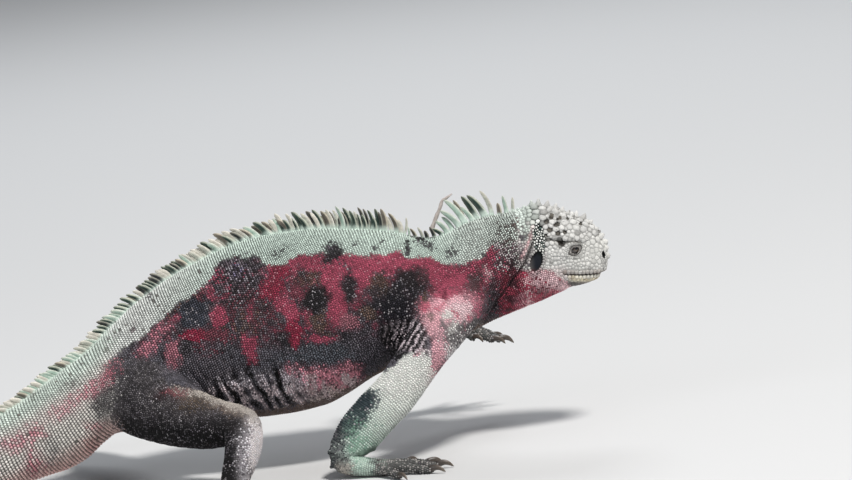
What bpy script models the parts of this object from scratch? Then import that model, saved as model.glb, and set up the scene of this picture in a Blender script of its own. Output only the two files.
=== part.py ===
"""Marine iguana, adult male in breeding colours, walking: a still life-size model.

Everything below is written in millimetres in a working frame (head towards +X, the animal's
right side towards -Y, floor at z = 0) and is scaled to metres as the objects are made.
The trunk, neck, head and tail are one lofted body, parted by thin flat cuts. Each limb is a
second loft that is trimmed by the body, and every toe carries its own claw.
"""
import math

import bmesh
import bpy
import numpy as np
from mathutils import Matrix, Vector

# ---------------------------------------------------------------- driving sizes (mm)
MM = 0.001
GAP = 0.34  # clear gap between touching pieces
RING = 20  # points round the body
LIMB_RING = 10
TOE_RING = 6
EYE_R = 6.0
EYE = (95.6, 13.6, 121.6)  # x, distance from the head's middle plane, z
SNOUT_X, HEAD_X, NECK_X, TRUNK_X = 117.2, 57.0, 26.0, -216.0
TAIL_CUTS = (-300.0, -400.0, -520.0, -630.0)
TAIL_END_X = -728.0

# x, middle y, top z, bottom z, half width, share of the height where it is widest,
# roundness of the upper and of the lower half (2 = ellipse)
BODY = (
    (117.2, -5.0, 117.0, 107.0, 6.5, 0.45, 2.3, 2.3),
    (116.0, -5.0, 121.8, 104.6, 10.5, 0.44, 2.4, 2.4),
    (113.5, -4.8, 128.0, 102.6, 13.4, 0.43, 2.4, 2.5),
    (109.0, -4.5, 135.4, 98.2, 16.2, 0.42, 2.4, 2.5),
    (104.0, -4.2, 139.4, 95.6, 18.0, 0.42, 2.3, 2.4),
    (97.0, -3.8, 142.8, 94.2, 19.6, 0.42, 2.3, 2.3),
    (90.0, -3.2, 146.4, 93.6, 21.2, 0.42, 2.3, 2.3),
    (84.0, -2.8, 149.0, 92.4, 22.6, 0.42, 2.2, 2.2),
    (77.0, -2.2, 151.2, 90.2, 24.0, 0.42, 2.2, 2.2),
    (70.0, -1.6, 151.6, 87.8, 24.8, 0.43, 2.1, 2.1),
    (63.0, -1.0, 151.0, 85.9, 24.6, 0.44, 2.0, 2.0),
    (56.0, -0.5, 149.6, 84.0, 24.0, 0.45, 1.9, 2.0),
    (48.0, 0.0, 148.6, 82.0, 24.6, 0.45, 1.85, 2.0),
    (40.0, 0.4, 148.0, 79.6, 26.8, 0.45, 1.8, 2.0),
    (28.0, 1.0, 145.4, 75.0, 31.5, 0.45, 1.8, 2.0),
    (16.0, 1.8, 140.8, 71.2, 36.5, 0.45, 1.8, 2.0),
    (4.0, 2.6, 138.4, 67.8, 40.0, 0.45, 1.8, 2.0),
    (-8.0, 3.4, 140.6, 64.6, 42.5, 0.45, 1.75, 2.05),
    (-20.0, 4.4, 145.0, 60.6, 44.5, 0.45, 1.75, 2.1),
    (-35.0, 5.6, 148.0, 55.0, 46.8, 0.45, 1.75, 2.15),
    (-50.0, 6.6, 150.2, 48.4, 48.8, 0.45, 1.75, 2.2),
    (-65.0, 7.4, 152.0, 40.8, 50.2, 0.45, 1.75, 2.2),
    (-80.0, 8.0, 152.8, 35.8, 51.0, 0.45, 1.75, 2.2),
    (-95.0, 8.0, 153.0, 33.8, 51.0, 0.45, 1.75, 2.2),
    (-115.0, 7.6, 151.5, 33.2, 49.6, 0.46, 1.75, 2.2),
    (-136.0, 6.6, 146.8, 33.6, 45.8, 0.47, 1.75, 2.1),
    (-150.0, 5.6, 141.2, 34.2, 42.0, 0.48, 1.75, 2.1),
    (-164.0, 4.6, 136.0, 35.0, 38.0, 0.49, 1.75, 2.0),
    (-185.0, 3.0, 125.2, 36.0, 32.8, 0.50, 1.8, 2.0),
    (-206.0, 1.2, 111.2, 36.6, 29.0, 0.50, 1.8, 2.0),
    (-218.0, 0.0, 102.2, 35.0, 27.6, 0.49, 1.8, 2.0),
    (-228.0, -1.2, 94.2, 29.6, 27.2, 0.48, 1.8, 2.0),
    (-240.0, -3.2, 86.6, 21.2, 26.6, 0.46, 1.8, 2.1),
    (-252.0, -6.0, 79.8, 16.6, 25.4, 0.46, 1.8, 2.1),
    (-265.0, -9.6, 72.6, 14.2, 23.8, 0.46, 1.8, 2.1),
    (-280.0, -14.6, 64.2, 12.0, 21.8, 0.46, 1.8, 2.1),
    (-295.0, -20.2, 57.8, 8.6, 20.0, 0.46, 1.8, 2.1),
    (-315.0, -28.4, 50.6, 3.8, 18.2, 0.47, 1.8, 2.1),
    (-335.0, -36.6, 44.8, 0.6, 16.6, 0.47, 1.8, 2.1),
    (-355.0, -44.4, 40.2, -0.5, 15.2, 0.47, 1.8, 2.1),
    (-380.0, -53.0, 36.2, -0.5, 13.7, 0.47, 1.8, 2.1),
    (-420.0, -62.6, 31.8, -0.5, 11.7, 0.47, 1.8, 2.1),
    (-470.0, -66.0, 27.6, -0.5, 9.9, 0.47, 1.8, 2.1),
    (-520.0, -60.0, 23.6, -0.5, 8.2, 0.47, 1.8, 2.1),
    (-570.0, -46.0, 19.6, -0.5, 6.8, 0.47, 1.9, 2.0),
    (-620.0, -26.6, 15.6, -0.4, 5.4, 0.47, 1.9, 2.0),
    (-670.0, -5.6, 11.2, -0.4, 4.0, 0.47, 2.0, 2.0),
    (-705.0, 8.0, 7.8, -0.3, 2.9, 0.47, 2.0, 2.0),
    (-728.0, 15.0, 4.6, 0.0, 1.9, 0.5, 2.0, 2.0),
)
TABLE = np.array(BODY)[::-1]


def slopes(x, y):
    """Tangents of a monotone cubic through (x, y)."""
    h, d = np.diff(x), np.diff(y) / np.diff(x)
    m = np.zeros(len(x))
    m[0], m[-1] = d[0], d[-1]
    same = d[:-1] * d[1:] > 0
    w1, w2 = 2 * h[1:] + h[:-1], h[1:] + 2 * h[:-1]
    with np.errstate(divide="ignore", invalid="ignore"):
        mid = (w1 + w2) / (w1 / d[:-1] + w2 / d[1:])
    m[1:-1] = np.where(same, mid, 0.0)
    return m


SLOPES = [slopes(TABLE[:, 0], TABLE[:, k]) for k in range(1, 8)]


def section(x):
    """(middle y, top, bottom, half width, widest share, upper, lower roundness) at x."""
    xs = TABLE[:, 0]
    x = min(max(x, xs[0]), xs[-1])
    i = int(min(max(np.searchsorted(xs, x) - 1, 0), len(xs) - 2))
    h = xs[i + 1] - xs[i]
    t = (x - xs[i]) / h
    out = []
    for k in range(7):
        a, b, m = TABLE[i, k + 1], TABLE[i + 1, k + 1], SLOPES[k]
        out.append(
            a * (1 + 2 * t) * (1 - t) ** 2
            + m[i] * h * t * (1 - t) ** 2
            + b * t * t * (3 - 2 * t)
            + m[i + 1] * h * t * t * (t - 1)
        )
    return out


def body_ring(x, count, grow=0.0):
    yc, top, low, half, share, up, down = section(x)
    middle = low + share * (top - low)
    points = []
    for k in range(count):
        a = 2 * math.pi * (k + 0.5) / count
        c, s = math.cos(a), math.sin(a)
        n = up if s > 0 else down
        tall = (top - middle if s > 0 else middle - low) + grow
        y = (half + grow) * math.copysign(abs(c) ** (2 / n), c)
        z = tall * math.copysign(abs(s) ** (2 / n), s)
        points.append((x, yc + y, max(middle + z, 0.0 if grow == 0 else -5.0)))
    return points


# ---------------------------------------------------------------- making objects
def clear_scene():
    for obj in list(bpy.data.objects):
        bpy.data.objects.remove(obj)


def collection(name, hidden=False):
    made = bpy.data.collections.new(name)
    bpy.context.scene.collection.children.link(made)
    made.hide_render = hidden
    return made


def material(name, colour, roughness):
    mat = bpy.data.materials.new(name)
    mat.use_nodes = True
    shader = mat.node_tree.nodes["Principled BSDF"]
    shader.inputs["Base Color"].default_value = (*colour, 1.0)
    shader.inputs["Roughness"].default_value = roughness
    shader.inputs["Metallic"].default_value = 0.0
    return mat


def loft_mesh(bm, rings):
    """Joins rings of equal length into a closed tube with flat ends."""
    rows = [[bm.verts.new(p) for p in ring] for ring in rings]
    count = len(rows[0])
    for a, b in zip(rows, rows[1:]):
        for k in range(count):
            j = (k + 1) % count
            bm.faces.new((a[k], a[j], b[j], b[k]))
    bm.faces.new(rows[0][::-1])
    bm.faces.new(rows[-1])
    return rows


def as_object(name, bm, where, mat=None):
    bmesh.ops.recalc_face_normals(bm, faces=bm.faces)
    bmesh.ops.scale(bm, vec=(MM, MM, MM), verts=bm.verts)
    mesh = bpy.data.meshes.new(name)
    bm.to_mesh(mesh)
    bm.free()
    mesh.shade_smooth()
    mesh.set_sharp_from_angle(angle=math.radians(50))
    obj = bpy.data.objects.new(name, mesh)
    where.objects.link(obj)
    if mat:
        mesh.materials.append(mat)
    return obj


def loft(name, rings, where, mat=None):
    bm = bmesh.new()
    loft_mesh(bm, rings)
    return as_object(name, bm, where, mat)


def boolean(obj, other, operation):
    """Applies one Boolean and keeps the result as the object's own mesh."""
    modifier = obj.modifiers.new("Boolean", "BOOLEAN")
    modifier.operation = operation
    modifier.solver = "EXACT"
    modifier.object = other
    bpy.context.view_layer.update()
    graph = bpy.context.evaluated_depsgraph_get()
    mesh = bpy.data.meshes.new_from_object(obj.evaluated_get(graph))
    obj.modifiers.clear()
    old = obj.data
    obj.data = mesh
    bpy.data.meshes.remove(old)
    bm = bmesh.new()
    bm.from_mesh(obj.data)
    bmesh.ops.remove_doubles(bm, verts=bm.verts, dist=2e-6)
    bmesh.ops.dissolve_degenerate(bm, edges=bm.edges, dist=2e-6)
    bm.to_mesh(obj.data)
    bm.free()


# ---------------------------------------------------------------- crest
# x, height of a spine along its length, lean from upright in degrees
CREST = (
    (58.0, 7.0, -4.0),
    (52.0, 11.5, 6.0),
    (47.0, 12.0, 12.0),
    (42.0, 20.5, 15.0),
    (36.0, 18.5, 24.0),
    (30.0, 17.0, 32.0),
    (24.0, 14.5, 36.0),
    (17.0, 11.0, 40.0),
    (10.0, 7.5, 42.0),
    (4.0, 5.5, 30.0),
    (-6.0, 6.5, 16.0),
    (-16.0, 10.0, 12.0),
    (-30.0, 11.6, 12.0),
    (-60.0, 12.2, 16.0),
    (-90.0, 12.6, 20.0),
    (-120.0, 12.4, 26.0),
    (-150.0, 11.4, 32.0),
    (-180.0, 9.6, 38.0),
    (-210.0, 7.6, 44.0),
    (-240.0, 6.2, 48.0),
    (-280.0, 5.2, 50.0),
    (-340.0, 4.8, 50.0),
    (-450.0, 4.2, 50.0),
    (-600.0, 3.2, 52.0),
    (-728.0, 1.8, 54.0),
)


def crest_at(x):
    rows = CREST[::-1]
    xs = [r[0] for r in rows]
    return [float(np.interp(x, xs, [r[k] for r in rows])) for k in (1, 2)]


def crest_stations():
    """x of every spine: close together on the back, wider apart along the tail."""
    x, found = 58.0, []
    while x > TAIL_END_X + 16:
        found.append(x)
        x -= 3.8 if x > -216 else 5.2 + 3.0 * min(1.0, (-216 - x) / 200)
    return found


def spine_rings(x, levels):
    """Cross sections of a leathery spine, front edge first: broad and flattened at the foot,
    hooked back at the tip."""
    tall, lean = crest_at(x)
    yc, top = section(x)[:2]
    y2, top2 = section(x - 3.0)[:2]
    back = Vector((-3.0, y2 - yc, top2 - top)).normalized()
    side = back.cross(Vector((0, 0, 1))).normalized()
    up = side.cross(back).normalized()
    wide = min(1.6, 0.8 + 0.075 * tall)
    thick = min(1.0, 0.5 + 0.045 * tall)
    foot = Vector((x, yc, top))
    rings = []
    for t, w in levels:
        a = math.radians(lean) * (0.5 + 0.9 * max(t, 0.0))
        way = up * math.cos(a) + back * math.sin(a)
        centre = foot + (way * tall * t if t > 0 else up * t)
        fore = back * math.cos(a) - up * math.sin(a) if t > 0.2 else back
        rings.append([centre + fore * wide * w * c + side * thick * w * s for c, s in ((-1, -1), (-1, 1), (1, 1), (1, -1))])
    return rings


def crest_object(name, low, high, where):
    """The comb of spines that grows from one piece. A tip may hang over the next piece, a foot
    may not."""
    teeth = []
    for x in crest_stations():
        if not low + GAP + 2.0 < x < high - GAP - 2.0:
            continue
        tall, lean = crest_at(x)
        foot = 0.5 / tall
        levels = [(-1.6, 1.0), (foot, 1.0), (1.0, 0.34)]
        if tall > 13.0:
            levels.insert(2, (0.6, 0.82))
        reach = 0.9 * math.tan(math.radians(lean)) + 2.0
        if x - reach < low + GAP:
            continue
        teeth.append(spine_rings(x, levels))
    bm = bmesh.new()
    rows = [[[bm.verts.new(p) for p in ring] for ring in tooth] for tooth in teeth]
    for tooth in rows:
        for n, (a, b) in enumerate(zip(tooth, tooth[1:])):
            for k in range(4) if n else (1, 3):
                bm.faces.new((a[k], a[(k + 1) % 4], b[(k + 1) % 4], b[k]))
        bm.faces.new(tooth[-1])
        bm.faces.new(tooth[0][::-1])
    for a, b in zip(rows, rows[1:]):
        a0, a1, b0, b1 = a[0], a[1], b[0], b[1]
        bm.faces.new((a0[2], b0[1], b1[1], a1[2]))
        bm.faces.new((b0[0], a0[3], a1[3], b1[0]))
        bm.faces.new((a1[3], a1[2], b1[1], b1[0]))
        bm.faces.new((a0[2], a0[3], b0[0], b0[1]))
    first, last = rows[0], rows[-1]
    bm.faces.new((first[0][0], first[0][1], first[1][1], first[1][0]))
    bm.faces.new((last[0][2], last[0][3], last[1][3], last[1][2]))
    return as_object(name, bm, where)


# Bosses of the head: x, share of the way round from the crown (0) to the jaw (1), radius, height
BOSSES = (
    (60.0, 0.0, 2.9, 2.4), (66.0, 0.0, 3.0, 2.6), (72.0, 0.0, 3.1, 2.8), (78.2, 0.0, 3.1, 2.8), (84.4, 0.0, 3.0, 3.0),
    (90.4, 0.0, 3.0, 3.0), (96.2, 0.0, 2.9, 2.8), (101.8, 0.0, 2.7, 2.6), (106.8, 0.0, 2.5, 2.4), (110.6, 0.0, 2.3, 2.2),
    (62.6, 0.20, 2.9, 2.0), (68.8, 0.21, 2.9, 2.2), (75.0, 0.22, 3.0, 2.2), (81.2, 0.23, 2.9, 2.4), (87.4, 0.24, 2.9, 2.4),
    (93.4, 0.25, 2.8, 2.2), (99.2, 0.26, 2.6, 2.0), (104.8, 0.26, 2.4, 2.0),
)


def boss_object(name, where):
    """Low four-sided cones standing on the crown, brow and snout, the same on both sides."""
    bm = bmesh.new()
    for x, share, radius, height in BOSSES:
        for side in (1, -1) if share else (1,):
            yc, top, low, half, middle, up, _ = section(x)
            z0 = low + middle * (top - low)
            a = math.pi / 2 * (1 - share * 1.25)
            c, s = math.cos(a), math.sin(a)
            y = half * abs(c) ** (2 / up)
            z = (top - z0) * abs(s) ** (2 / up)
            slope = (section(x + 2)[1] - section(x - 2)[1]) / 4
            out = Vector((-slope * s, side * c * (top - z0) / half, s)).normalized()
            at = Vector((x, yc + side * y, z0 + z))
            u = out.orthogonal().normalized()
            v = out.cross(u)
            rings = []
            for h, r in ((-1.6, 1.0), (0.2, 1.0), (1.0, 0.28)):
                c0 = at + out * (h * height if h > 0.5 else h)
                rings.append([c0 + (u * math.cos(k * math.pi / 2) + v * math.sin(k * math.pi / 2)) * radius * r for k in range(4)])
            loft_mesh(bm, rings)
    return as_object(name, bm, where)


# ---------------------------------------------------------------- limbs
# Points of each limb: centre (x, y, z), half depth, half breadth; a name starts a new piece
RIGHT_ARM = (
    ("upper_arm", (16, -24, 98), 19, 19),
    (None, (5, -38, 86.5), 18, 16.5),
    (None, (-10, -49, 71.5), 15.6, 13.6),
    ("forearm", (-30, -61, 50.5), 15.4, 12.4),
    (None, (-47.5, -67, 36.5), 15.4, 12.6),
    (None, (-61, -71.5, 24), 14.6, 11.6),
    ("hand", (-69.5, -74.5, 12.8), 10.4, 10.0),
    (None, (-61, -77, 7.2), 6.6, 9.8),
    (None, (-47, -79.5, 4.7), 5.5, 10.2),
    (None, (-37, -81.0, 4.0), 4.8, 8.6),
)
LEFT_ARM = (
    ("upper_arm", (16, 24, 98), 19, 19),
    (None, (4, 42, 101), 17.5, 17),
    (None, (-12, 58, 105.5), 14.6, 14.6),
    ("forearm", (-28, 70.5, 106.5), 12.8, 13.2),
    (None, (-26, 80, 94.5), 12.8, 12.8),
    (None, (-20, 84.5, 84), 11.8, 11.4),
    ("hand", (-13, 87, 74), 8.6, 9.4),
    (None, (-4, 89.5, 68), 6.2, 9.6),
    (None, (8, 91.5, 65), 5.0, 10.2),
    (None, (17, 93, 63), 4.2, 8.6),
)
RIGHT_LEG = (
    ("thigh", (-212, -8, 66), 24, 24),
    (None, (-197, -24, 59.5), 26.5, 24),
    (None, (-176, -42, 49.5), 21.5, 21.0),
    (None, (-153, -57, 43.0), 17.0, 17.0),
    ("shin", (-134.5, -69, 42.3), 12.4, 13.2),
    (None, (-132.5, -79, 34), 12.6, 12.6),
    (None, (-135.5, -93, 23), 11.6, 10.8),
    ("foot", (-140, -104, 11.5), 8.2, 9.2),
    (None, (-133, -109, 6.8), 6.2, 9.4),
    (None, (-119, -117, 4.7), 5.5, 10.6),
    (None, (-107, -123.5, 4.0), 4.8, 9.0),
)
LEFT_LEG = (
    ("thigh", (-206, 6, 66), 24, 24),
    (None, (-210, 28, 64), 25, 24),
    (None, (-217, 52, 58.5), 22, 22),
    (None, (-225, 75, 53), 17.5, 18),
    ("shin", (-236, 95, 47), 13.6, 14.0),
    (None, (-252, 103, 38), 13.0, 12.8),
    (None, (-274, 109.5, 25.5), 11.4, 10.8),
    ("foot", (-294, 114, 12), 8.4, 9.2),
    (None, (-290, 121, 7.0), 6.2, 9.4),
    (None, (-283, 134, 4.7), 5.5, 10.6),
    (None, (-277, 145, 4.0), 4.8, 9.0),
)
# Each toe: share across the front of the foot (-1 is the body side), turn from the foot's own
# direction in degrees (+ is outwards), length without the claw, half breadth, claw length
FINGERS = (
    (-0.80, -46, 15, 3.1, 8.5),
    (-0.42, -20, 22, 3.3, 9.5),
    (0.0, -2, 27, 3.4, 10.0),
    (0.42, 16, 27, 3.3, 10.0),
    (0.80, 48, 18, 3.0, 8.5),
)
TOES = (
    (-0.80, -44, 15, 3.2, 9.0),
    (-0.42, -20, 24, 3.4, 10.0),
    (0.0, -4, 34, 3.5, 10.5),
    (0.42, 12, 44, 3.5, 11.0),
    (0.75, 62, 26, 3.1, 9.0),
)


def limb_rings(chain):
    """[(name or None, ring points, centre, direction)] along a limb."""
    centres = [Vector(c[1]) for c in chain]
    found = []
    for i, (name, _, deep, broad) in enumerate(chain):
        before = centres[i] - centres[max(i - 1, 0)]
        after = centres[min(i + 1, len(centres) - 1)] - centres[i]
        way = (before.normalized() + after.normalized()).normalized()
        across = way.cross(Vector((0, 0, 1)))
        across.normalize()
        up = across.cross(way).normalized()
        bend = before.angle(after, 0.0) if 0 < i < len(centres) - 1 else 0.0
        stretch = 1 / max(math.cos(bend / 2), 0.75)
        ring = []
        for k in range(LIMB_RING):
            a = 2 * math.pi * (k + 0.5) / LIMB_RING
            ring.append(centres[i] + across * broad * math.cos(a) + up * deep * stretch * math.sin(a))
        found.append((name, ring, centres[i], way))
    return found


def floor_clamp(points):
    return [(p[0], p[1], max(p[2], 0.0)) for p in points]


def toe_pieces(chain, toes, side):
    """(toe rings, claw rings) for every toe of a foot. side is -1 on the right, +1 on the left.

    A foot that stands is laid out on the floor plane; a lifted one is laid out on a plane that
    runs along it, 4.6 mm under its last point.
    """
    tip, root = Vector(chain[-1][1]), Vector(chain[-3][1])
    lifted = tip.z > 20
    way = tip - root
    if not lifted:
        way.z = 0.0
    way.normalize()
    out = Vector((-way.y, way.x, 0)).normalized() * side
    if out.y * side < 0:
        out = -out
    up = way.cross(out)
    if up.z < 0:
        up = -up
    base = tip - up * (4.6 if lifted else tip.z)
    half = chain[-1][3]
    made = []
    for share, turn, length, broad, claw in toes:
        a = math.radians(turn)
        go = (way * math.cos(a) + out * math.sin(a)).normalized()
        across = up.cross(go)
        start = base + out * half * share - way * (5.0 + 7.0 * abs(share) ** 2)
        reach = length + 5.0
        droop = 0.16 * reach if lifted else 0.0

        def ring(t, z, w, sides=TOE_RING, lift=droop):
            c = start + go * reach * t + up * (z - lift * t * t)
            points = []
            for k in range(sides):
                b = 2 * math.pi * k / sides
                points.append(c + (across * math.cos(b) + up * math.sin(b)) * broad * w * 1.1)
            return points if lifted else floor_clamp(points)

        rings = [ring(*v) for v in ((0.0, 4.4, 1.0), (0.4, 4.6, 1.0), (0.76, 2.75, 0.94), (1.0, 2.3, 0.78))]
        end = start + go * reach - up * droop
        claws = []
        for t, w in ((0.0, 1.0), (0.35, 0.82), (0.7, 0.5), (1.0, 0.16)):
            sweep = math.radians(62 * t)
            c = end + go * (GAP + claw * t) + up * (2.7 + 1.6 * math.sin(math.pi * t) - 1.9 * t * t)
            tall = up * math.cos(sweep) + go * math.sin(sweep)
            r = broad * 0.78 * w
            claws.append(
                [
                    c + across * r * 0.72 * math.cos(math.pi * (2 * k + 1) / 4) + tall * r * math.sin(math.pi * (2 * k + 1) / 4)
                    for k in range(4)
                ]
            )
        made.append((rings, claws))
    return made


def build_limb(prefix, chain, toes, side, where, helpers, mats):
    """The limb's pieces, in order from the body outwards, and its claws."""
    rings = limb_rings(chain)
    starts = [i for i, r in enumerate(rings) if r[0]]
    made = []
    for n, i in enumerate(starts):
        last = starts[n + 1] if n + 1 < len(starts) else len(rings) - 1
        use = []
        for j in range(i, last + 1):
            _, ring, _, way = rings[j]
            push = Vector((0, 0, 0))
            if j == i and n > 0:
                push = way * GAP / 2
            if j == last and last != len(rings) - 1:
                push = -way * GAP / 2
            use.append(floor_clamp([p + push for p in ring]))
        made.append(loft(prefix + rings[i][0], use, where, mats["limb"]))
    foot = made[-1]
    for number, (toe, claw) in enumerate(toe_pieces(chain, toes, side), 1):
        helper = loft("toe_cutter", toe, helpers)
        boolean(foot, helper, "UNION")
        bpy.data.objects.remove(helper)
        loft(f"{foot.name}_claw_{number}", claw, where, mats["claw"])
    return made


# ---------------------------------------------------------------- the animal
def build():
    clear_scene()
    animal = collection("marine_iguana")
    helpers = collection("helpers", hidden=True)
    mats = {
        "body": material("scaled_skin", (0.34, 0.13, 0.14), 0.75),
        "head": material("head_scales", (0.62, 0.63, 0.57), 0.7),
        "tail": material("tail_scales", (0.50, 0.50, 0.45), 0.75),
        "limb": material("limb_scales", (0.36, 0.38, 0.33), 0.75),
        "claw": material("claw_horn", (0.07, 0.065, 0.07), 0.4),
        "eye": material("eye", (0.10, 0.05, 0.03), 0.15),
    }

    def piece(name, high, low, step, mat, count=RING):
        """A length of the body from x = high down to x = low, gaps left at its cuts."""
        top = high if high == SNOUT_X else high - GAP / 2
        end = low if low == TAIL_END_X else low + GAP / 2
        steps = max(2, round((top - end) / step))
        xs = [top + (end - top) * k / steps for k in range(steps + 1)]
        if high == SNOUT_X:
            xs = [117.2, 116.0, 113.5, 110.5, 106.0, 101.0, 95.5, 89.0, 82.0, 75.0, 68.0, 62.0, end]
        return loft(name, [body_ring(x, count) for x in xs], animal, mat)

    cuts = (TRUNK_X, *TAIL_CUTS, TAIL_END_X)
    parts = {
        "head": piece("head", SNOUT_X, HEAD_X, 7.0, mats["head"]),
        "neck": piece("neck", HEAD_X, NECK_X, 8.0, mats["body"]),
        "trunk": piece("trunk", NECK_X, TRUNK_X, 13.0, mats["body"]),
    }
    for n, (high, low) in enumerate(zip(cuts, cuts[1:]), 1):
        parts[f"tail_{n}"] = piece(f"tail_{n}", high, low, 12.0 + 4.0 * n, mats["tail"], (18, 16, 14, 12, 10)[n - 1])

    spans = {"neck": (NECK_X, HEAD_X + 6), "trunk": (TRUNK_X, NECK_X)}
    spans.update({f"tail_{n}": (low, high) for n, (high, low) in enumerate(zip(cuts, cuts[1:]), 1)})
    for name, (low, high) in spans.items():
        spines = crest_object("crest_cutter", low, min(high, HEAD_X + 1) if name == "neck" else high, helpers)
        boolean(parts[name], spines, "UNION")
        bpy.data.objects.remove(spines)

    # lower jaw: everything of the head below the mouth line and ahead of the corner of the mouth
    def mouth_box(name, gap):
        corner, front = Vector((87.5, 106.2 - gap)), Vector((125.0, 100.6 - gap))
        bm = bmesh.new()
        outline = [(corner.x - 4.5 + gap, corner.y + 0.7), (front.x, front.y), (125.0, 80.0), (76.0 + gap, 80.0)]
        loft_mesh(bm, [[(px, y, pz) for px, pz in outline] for y in (-45.0, 45.0)])
        return as_object(name, bm, helpers)

    jaw = parts["head"].copy()
    jaw.data = parts["head"].data.copy()
    jaw.name = "lower_jaw"
    animal.objects.link(jaw)
    cutter = mouth_box("mouth_cutter", 0.0)
    boolean(parts["head"], cutter, "DIFFERENCE")
    bpy.data.objects.remove(cutter)
    cutter = mouth_box("mouth_cutter", GAP)
    boolean(jaw, cutter, "INTERSECT")
    bpy.data.objects.remove(cutter)

    bosses = boss_object("boss_cutter", helpers)
    boolean(parts["head"], bosses, "UNION")
    bpy.data.objects.remove(bosses)

    # eyes, each in a socket cut from the head
    for side, name in ((-1, "eye_right"), (1, "eye_left")):
        middle = section(EYE[0])[0]
        at = Vector((EYE[0], middle + side * EYE[1], EYE[2])) * MM
        for radius, label, where, mat in (
            (EYE_R + GAP, "socket_cutter", helpers, None),
            (EYE_R, name, animal, mats["eye"]),
        ):
            bm = bmesh.new()
            bmesh.ops.create_uvsphere(bm, u_segments=12, v_segments=6, radius=radius)
            ball = as_object(label, bm, where, mat)
            ball.location = at
            ball.rotation_euler = (math.radians(90), 0, 0)
            if label == "socket_cutter":
                boolean(parts["head"], ball, "DIFFERENCE")
                bpy.data.objects.remove(ball)

    # limbs, trimmed where they meet the body
    limbs = {}
    for prefix, chain, toes, side in (
        ("right_fore_", RIGHT_ARM, FINGERS, -1),
        ("left_fore_", LEFT_ARM, FINGERS, 1),
        ("right_hind_", RIGHT_LEG, TOES, -1),
        ("left_hind_", LEFT_LEG, TOES, 1),
    ):
        limbs[prefix] = build_limb(prefix, chain, toes, side, animal, helpers, mats)
    xs = np.arange(70.0, -300.0, -7.0)
    cutter = loft("body_cutter", [body_ring(x, 2 * RING, GAP + 0.35) for x in xs], helpers)
    for made in limbs.values():
        boolean(made[0], cutter, "DIFFERENCE")
    bpy.data.objects.remove(cutter)

    # the origin goes to the middle of the box, at floor level
    bpy.context.view_layer.update()
    low, high = Vector((1e9,) * 3), Vector((-1e9,) * 3)
    for obj in animal.objects:
        for corner in obj.bound_box:
            p = obj.matrix_world @ Vector(corner)
            low, high = Vector(map(min, low, p)), Vector(map(max, high, p))
    middle = (low + high) / 2
    move = Vector((-middle.x, -middle.y, 0.0))
    for obj in animal.objects:
        obj.location += move
    print("moved by", tuple(round(v / MM, 3) for v in move), "low", tuple(round(v / MM, 3) for v in low))


build()
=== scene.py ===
"""Marine iguana in breeding colours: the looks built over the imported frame.

Worked in millimetres in the same working frame as the solids (head towards +X, right side
towards -Y, floor at z = 0), then moved and scaled into the row frame.
One skin stands for every node of flesh. Scales, spines, lids and claws are solid mesh over it.
"""
import math

import bmesh
import bpy
import numpy as np
import openvdb
from mathutils import Matrix, Vector
from mathutils.kdtree import KDTree


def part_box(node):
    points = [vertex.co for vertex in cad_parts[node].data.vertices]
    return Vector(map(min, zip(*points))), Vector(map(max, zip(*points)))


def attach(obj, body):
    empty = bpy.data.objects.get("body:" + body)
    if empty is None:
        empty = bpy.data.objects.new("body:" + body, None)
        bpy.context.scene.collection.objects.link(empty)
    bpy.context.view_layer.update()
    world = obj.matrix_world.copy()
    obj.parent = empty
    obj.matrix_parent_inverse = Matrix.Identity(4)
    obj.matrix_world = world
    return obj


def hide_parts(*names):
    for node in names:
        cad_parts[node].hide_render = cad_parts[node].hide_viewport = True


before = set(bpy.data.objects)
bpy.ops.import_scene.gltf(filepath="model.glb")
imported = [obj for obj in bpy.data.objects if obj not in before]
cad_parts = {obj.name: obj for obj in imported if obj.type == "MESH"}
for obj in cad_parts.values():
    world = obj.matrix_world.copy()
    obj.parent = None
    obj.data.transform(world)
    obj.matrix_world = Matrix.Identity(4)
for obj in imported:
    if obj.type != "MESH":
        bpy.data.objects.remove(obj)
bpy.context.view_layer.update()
RNG = np.random.default_rng(20240611)
MM = 0.001
SHIFT = np.array([305.4, -16.948, 0.0])
LEAN, ROLL = math.radians(8), math.radians(7)  # camera above the animal, camera rolled
EYE_R = 6.0
EYE = np.array([95.6, 13.6, 121.6])

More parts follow.
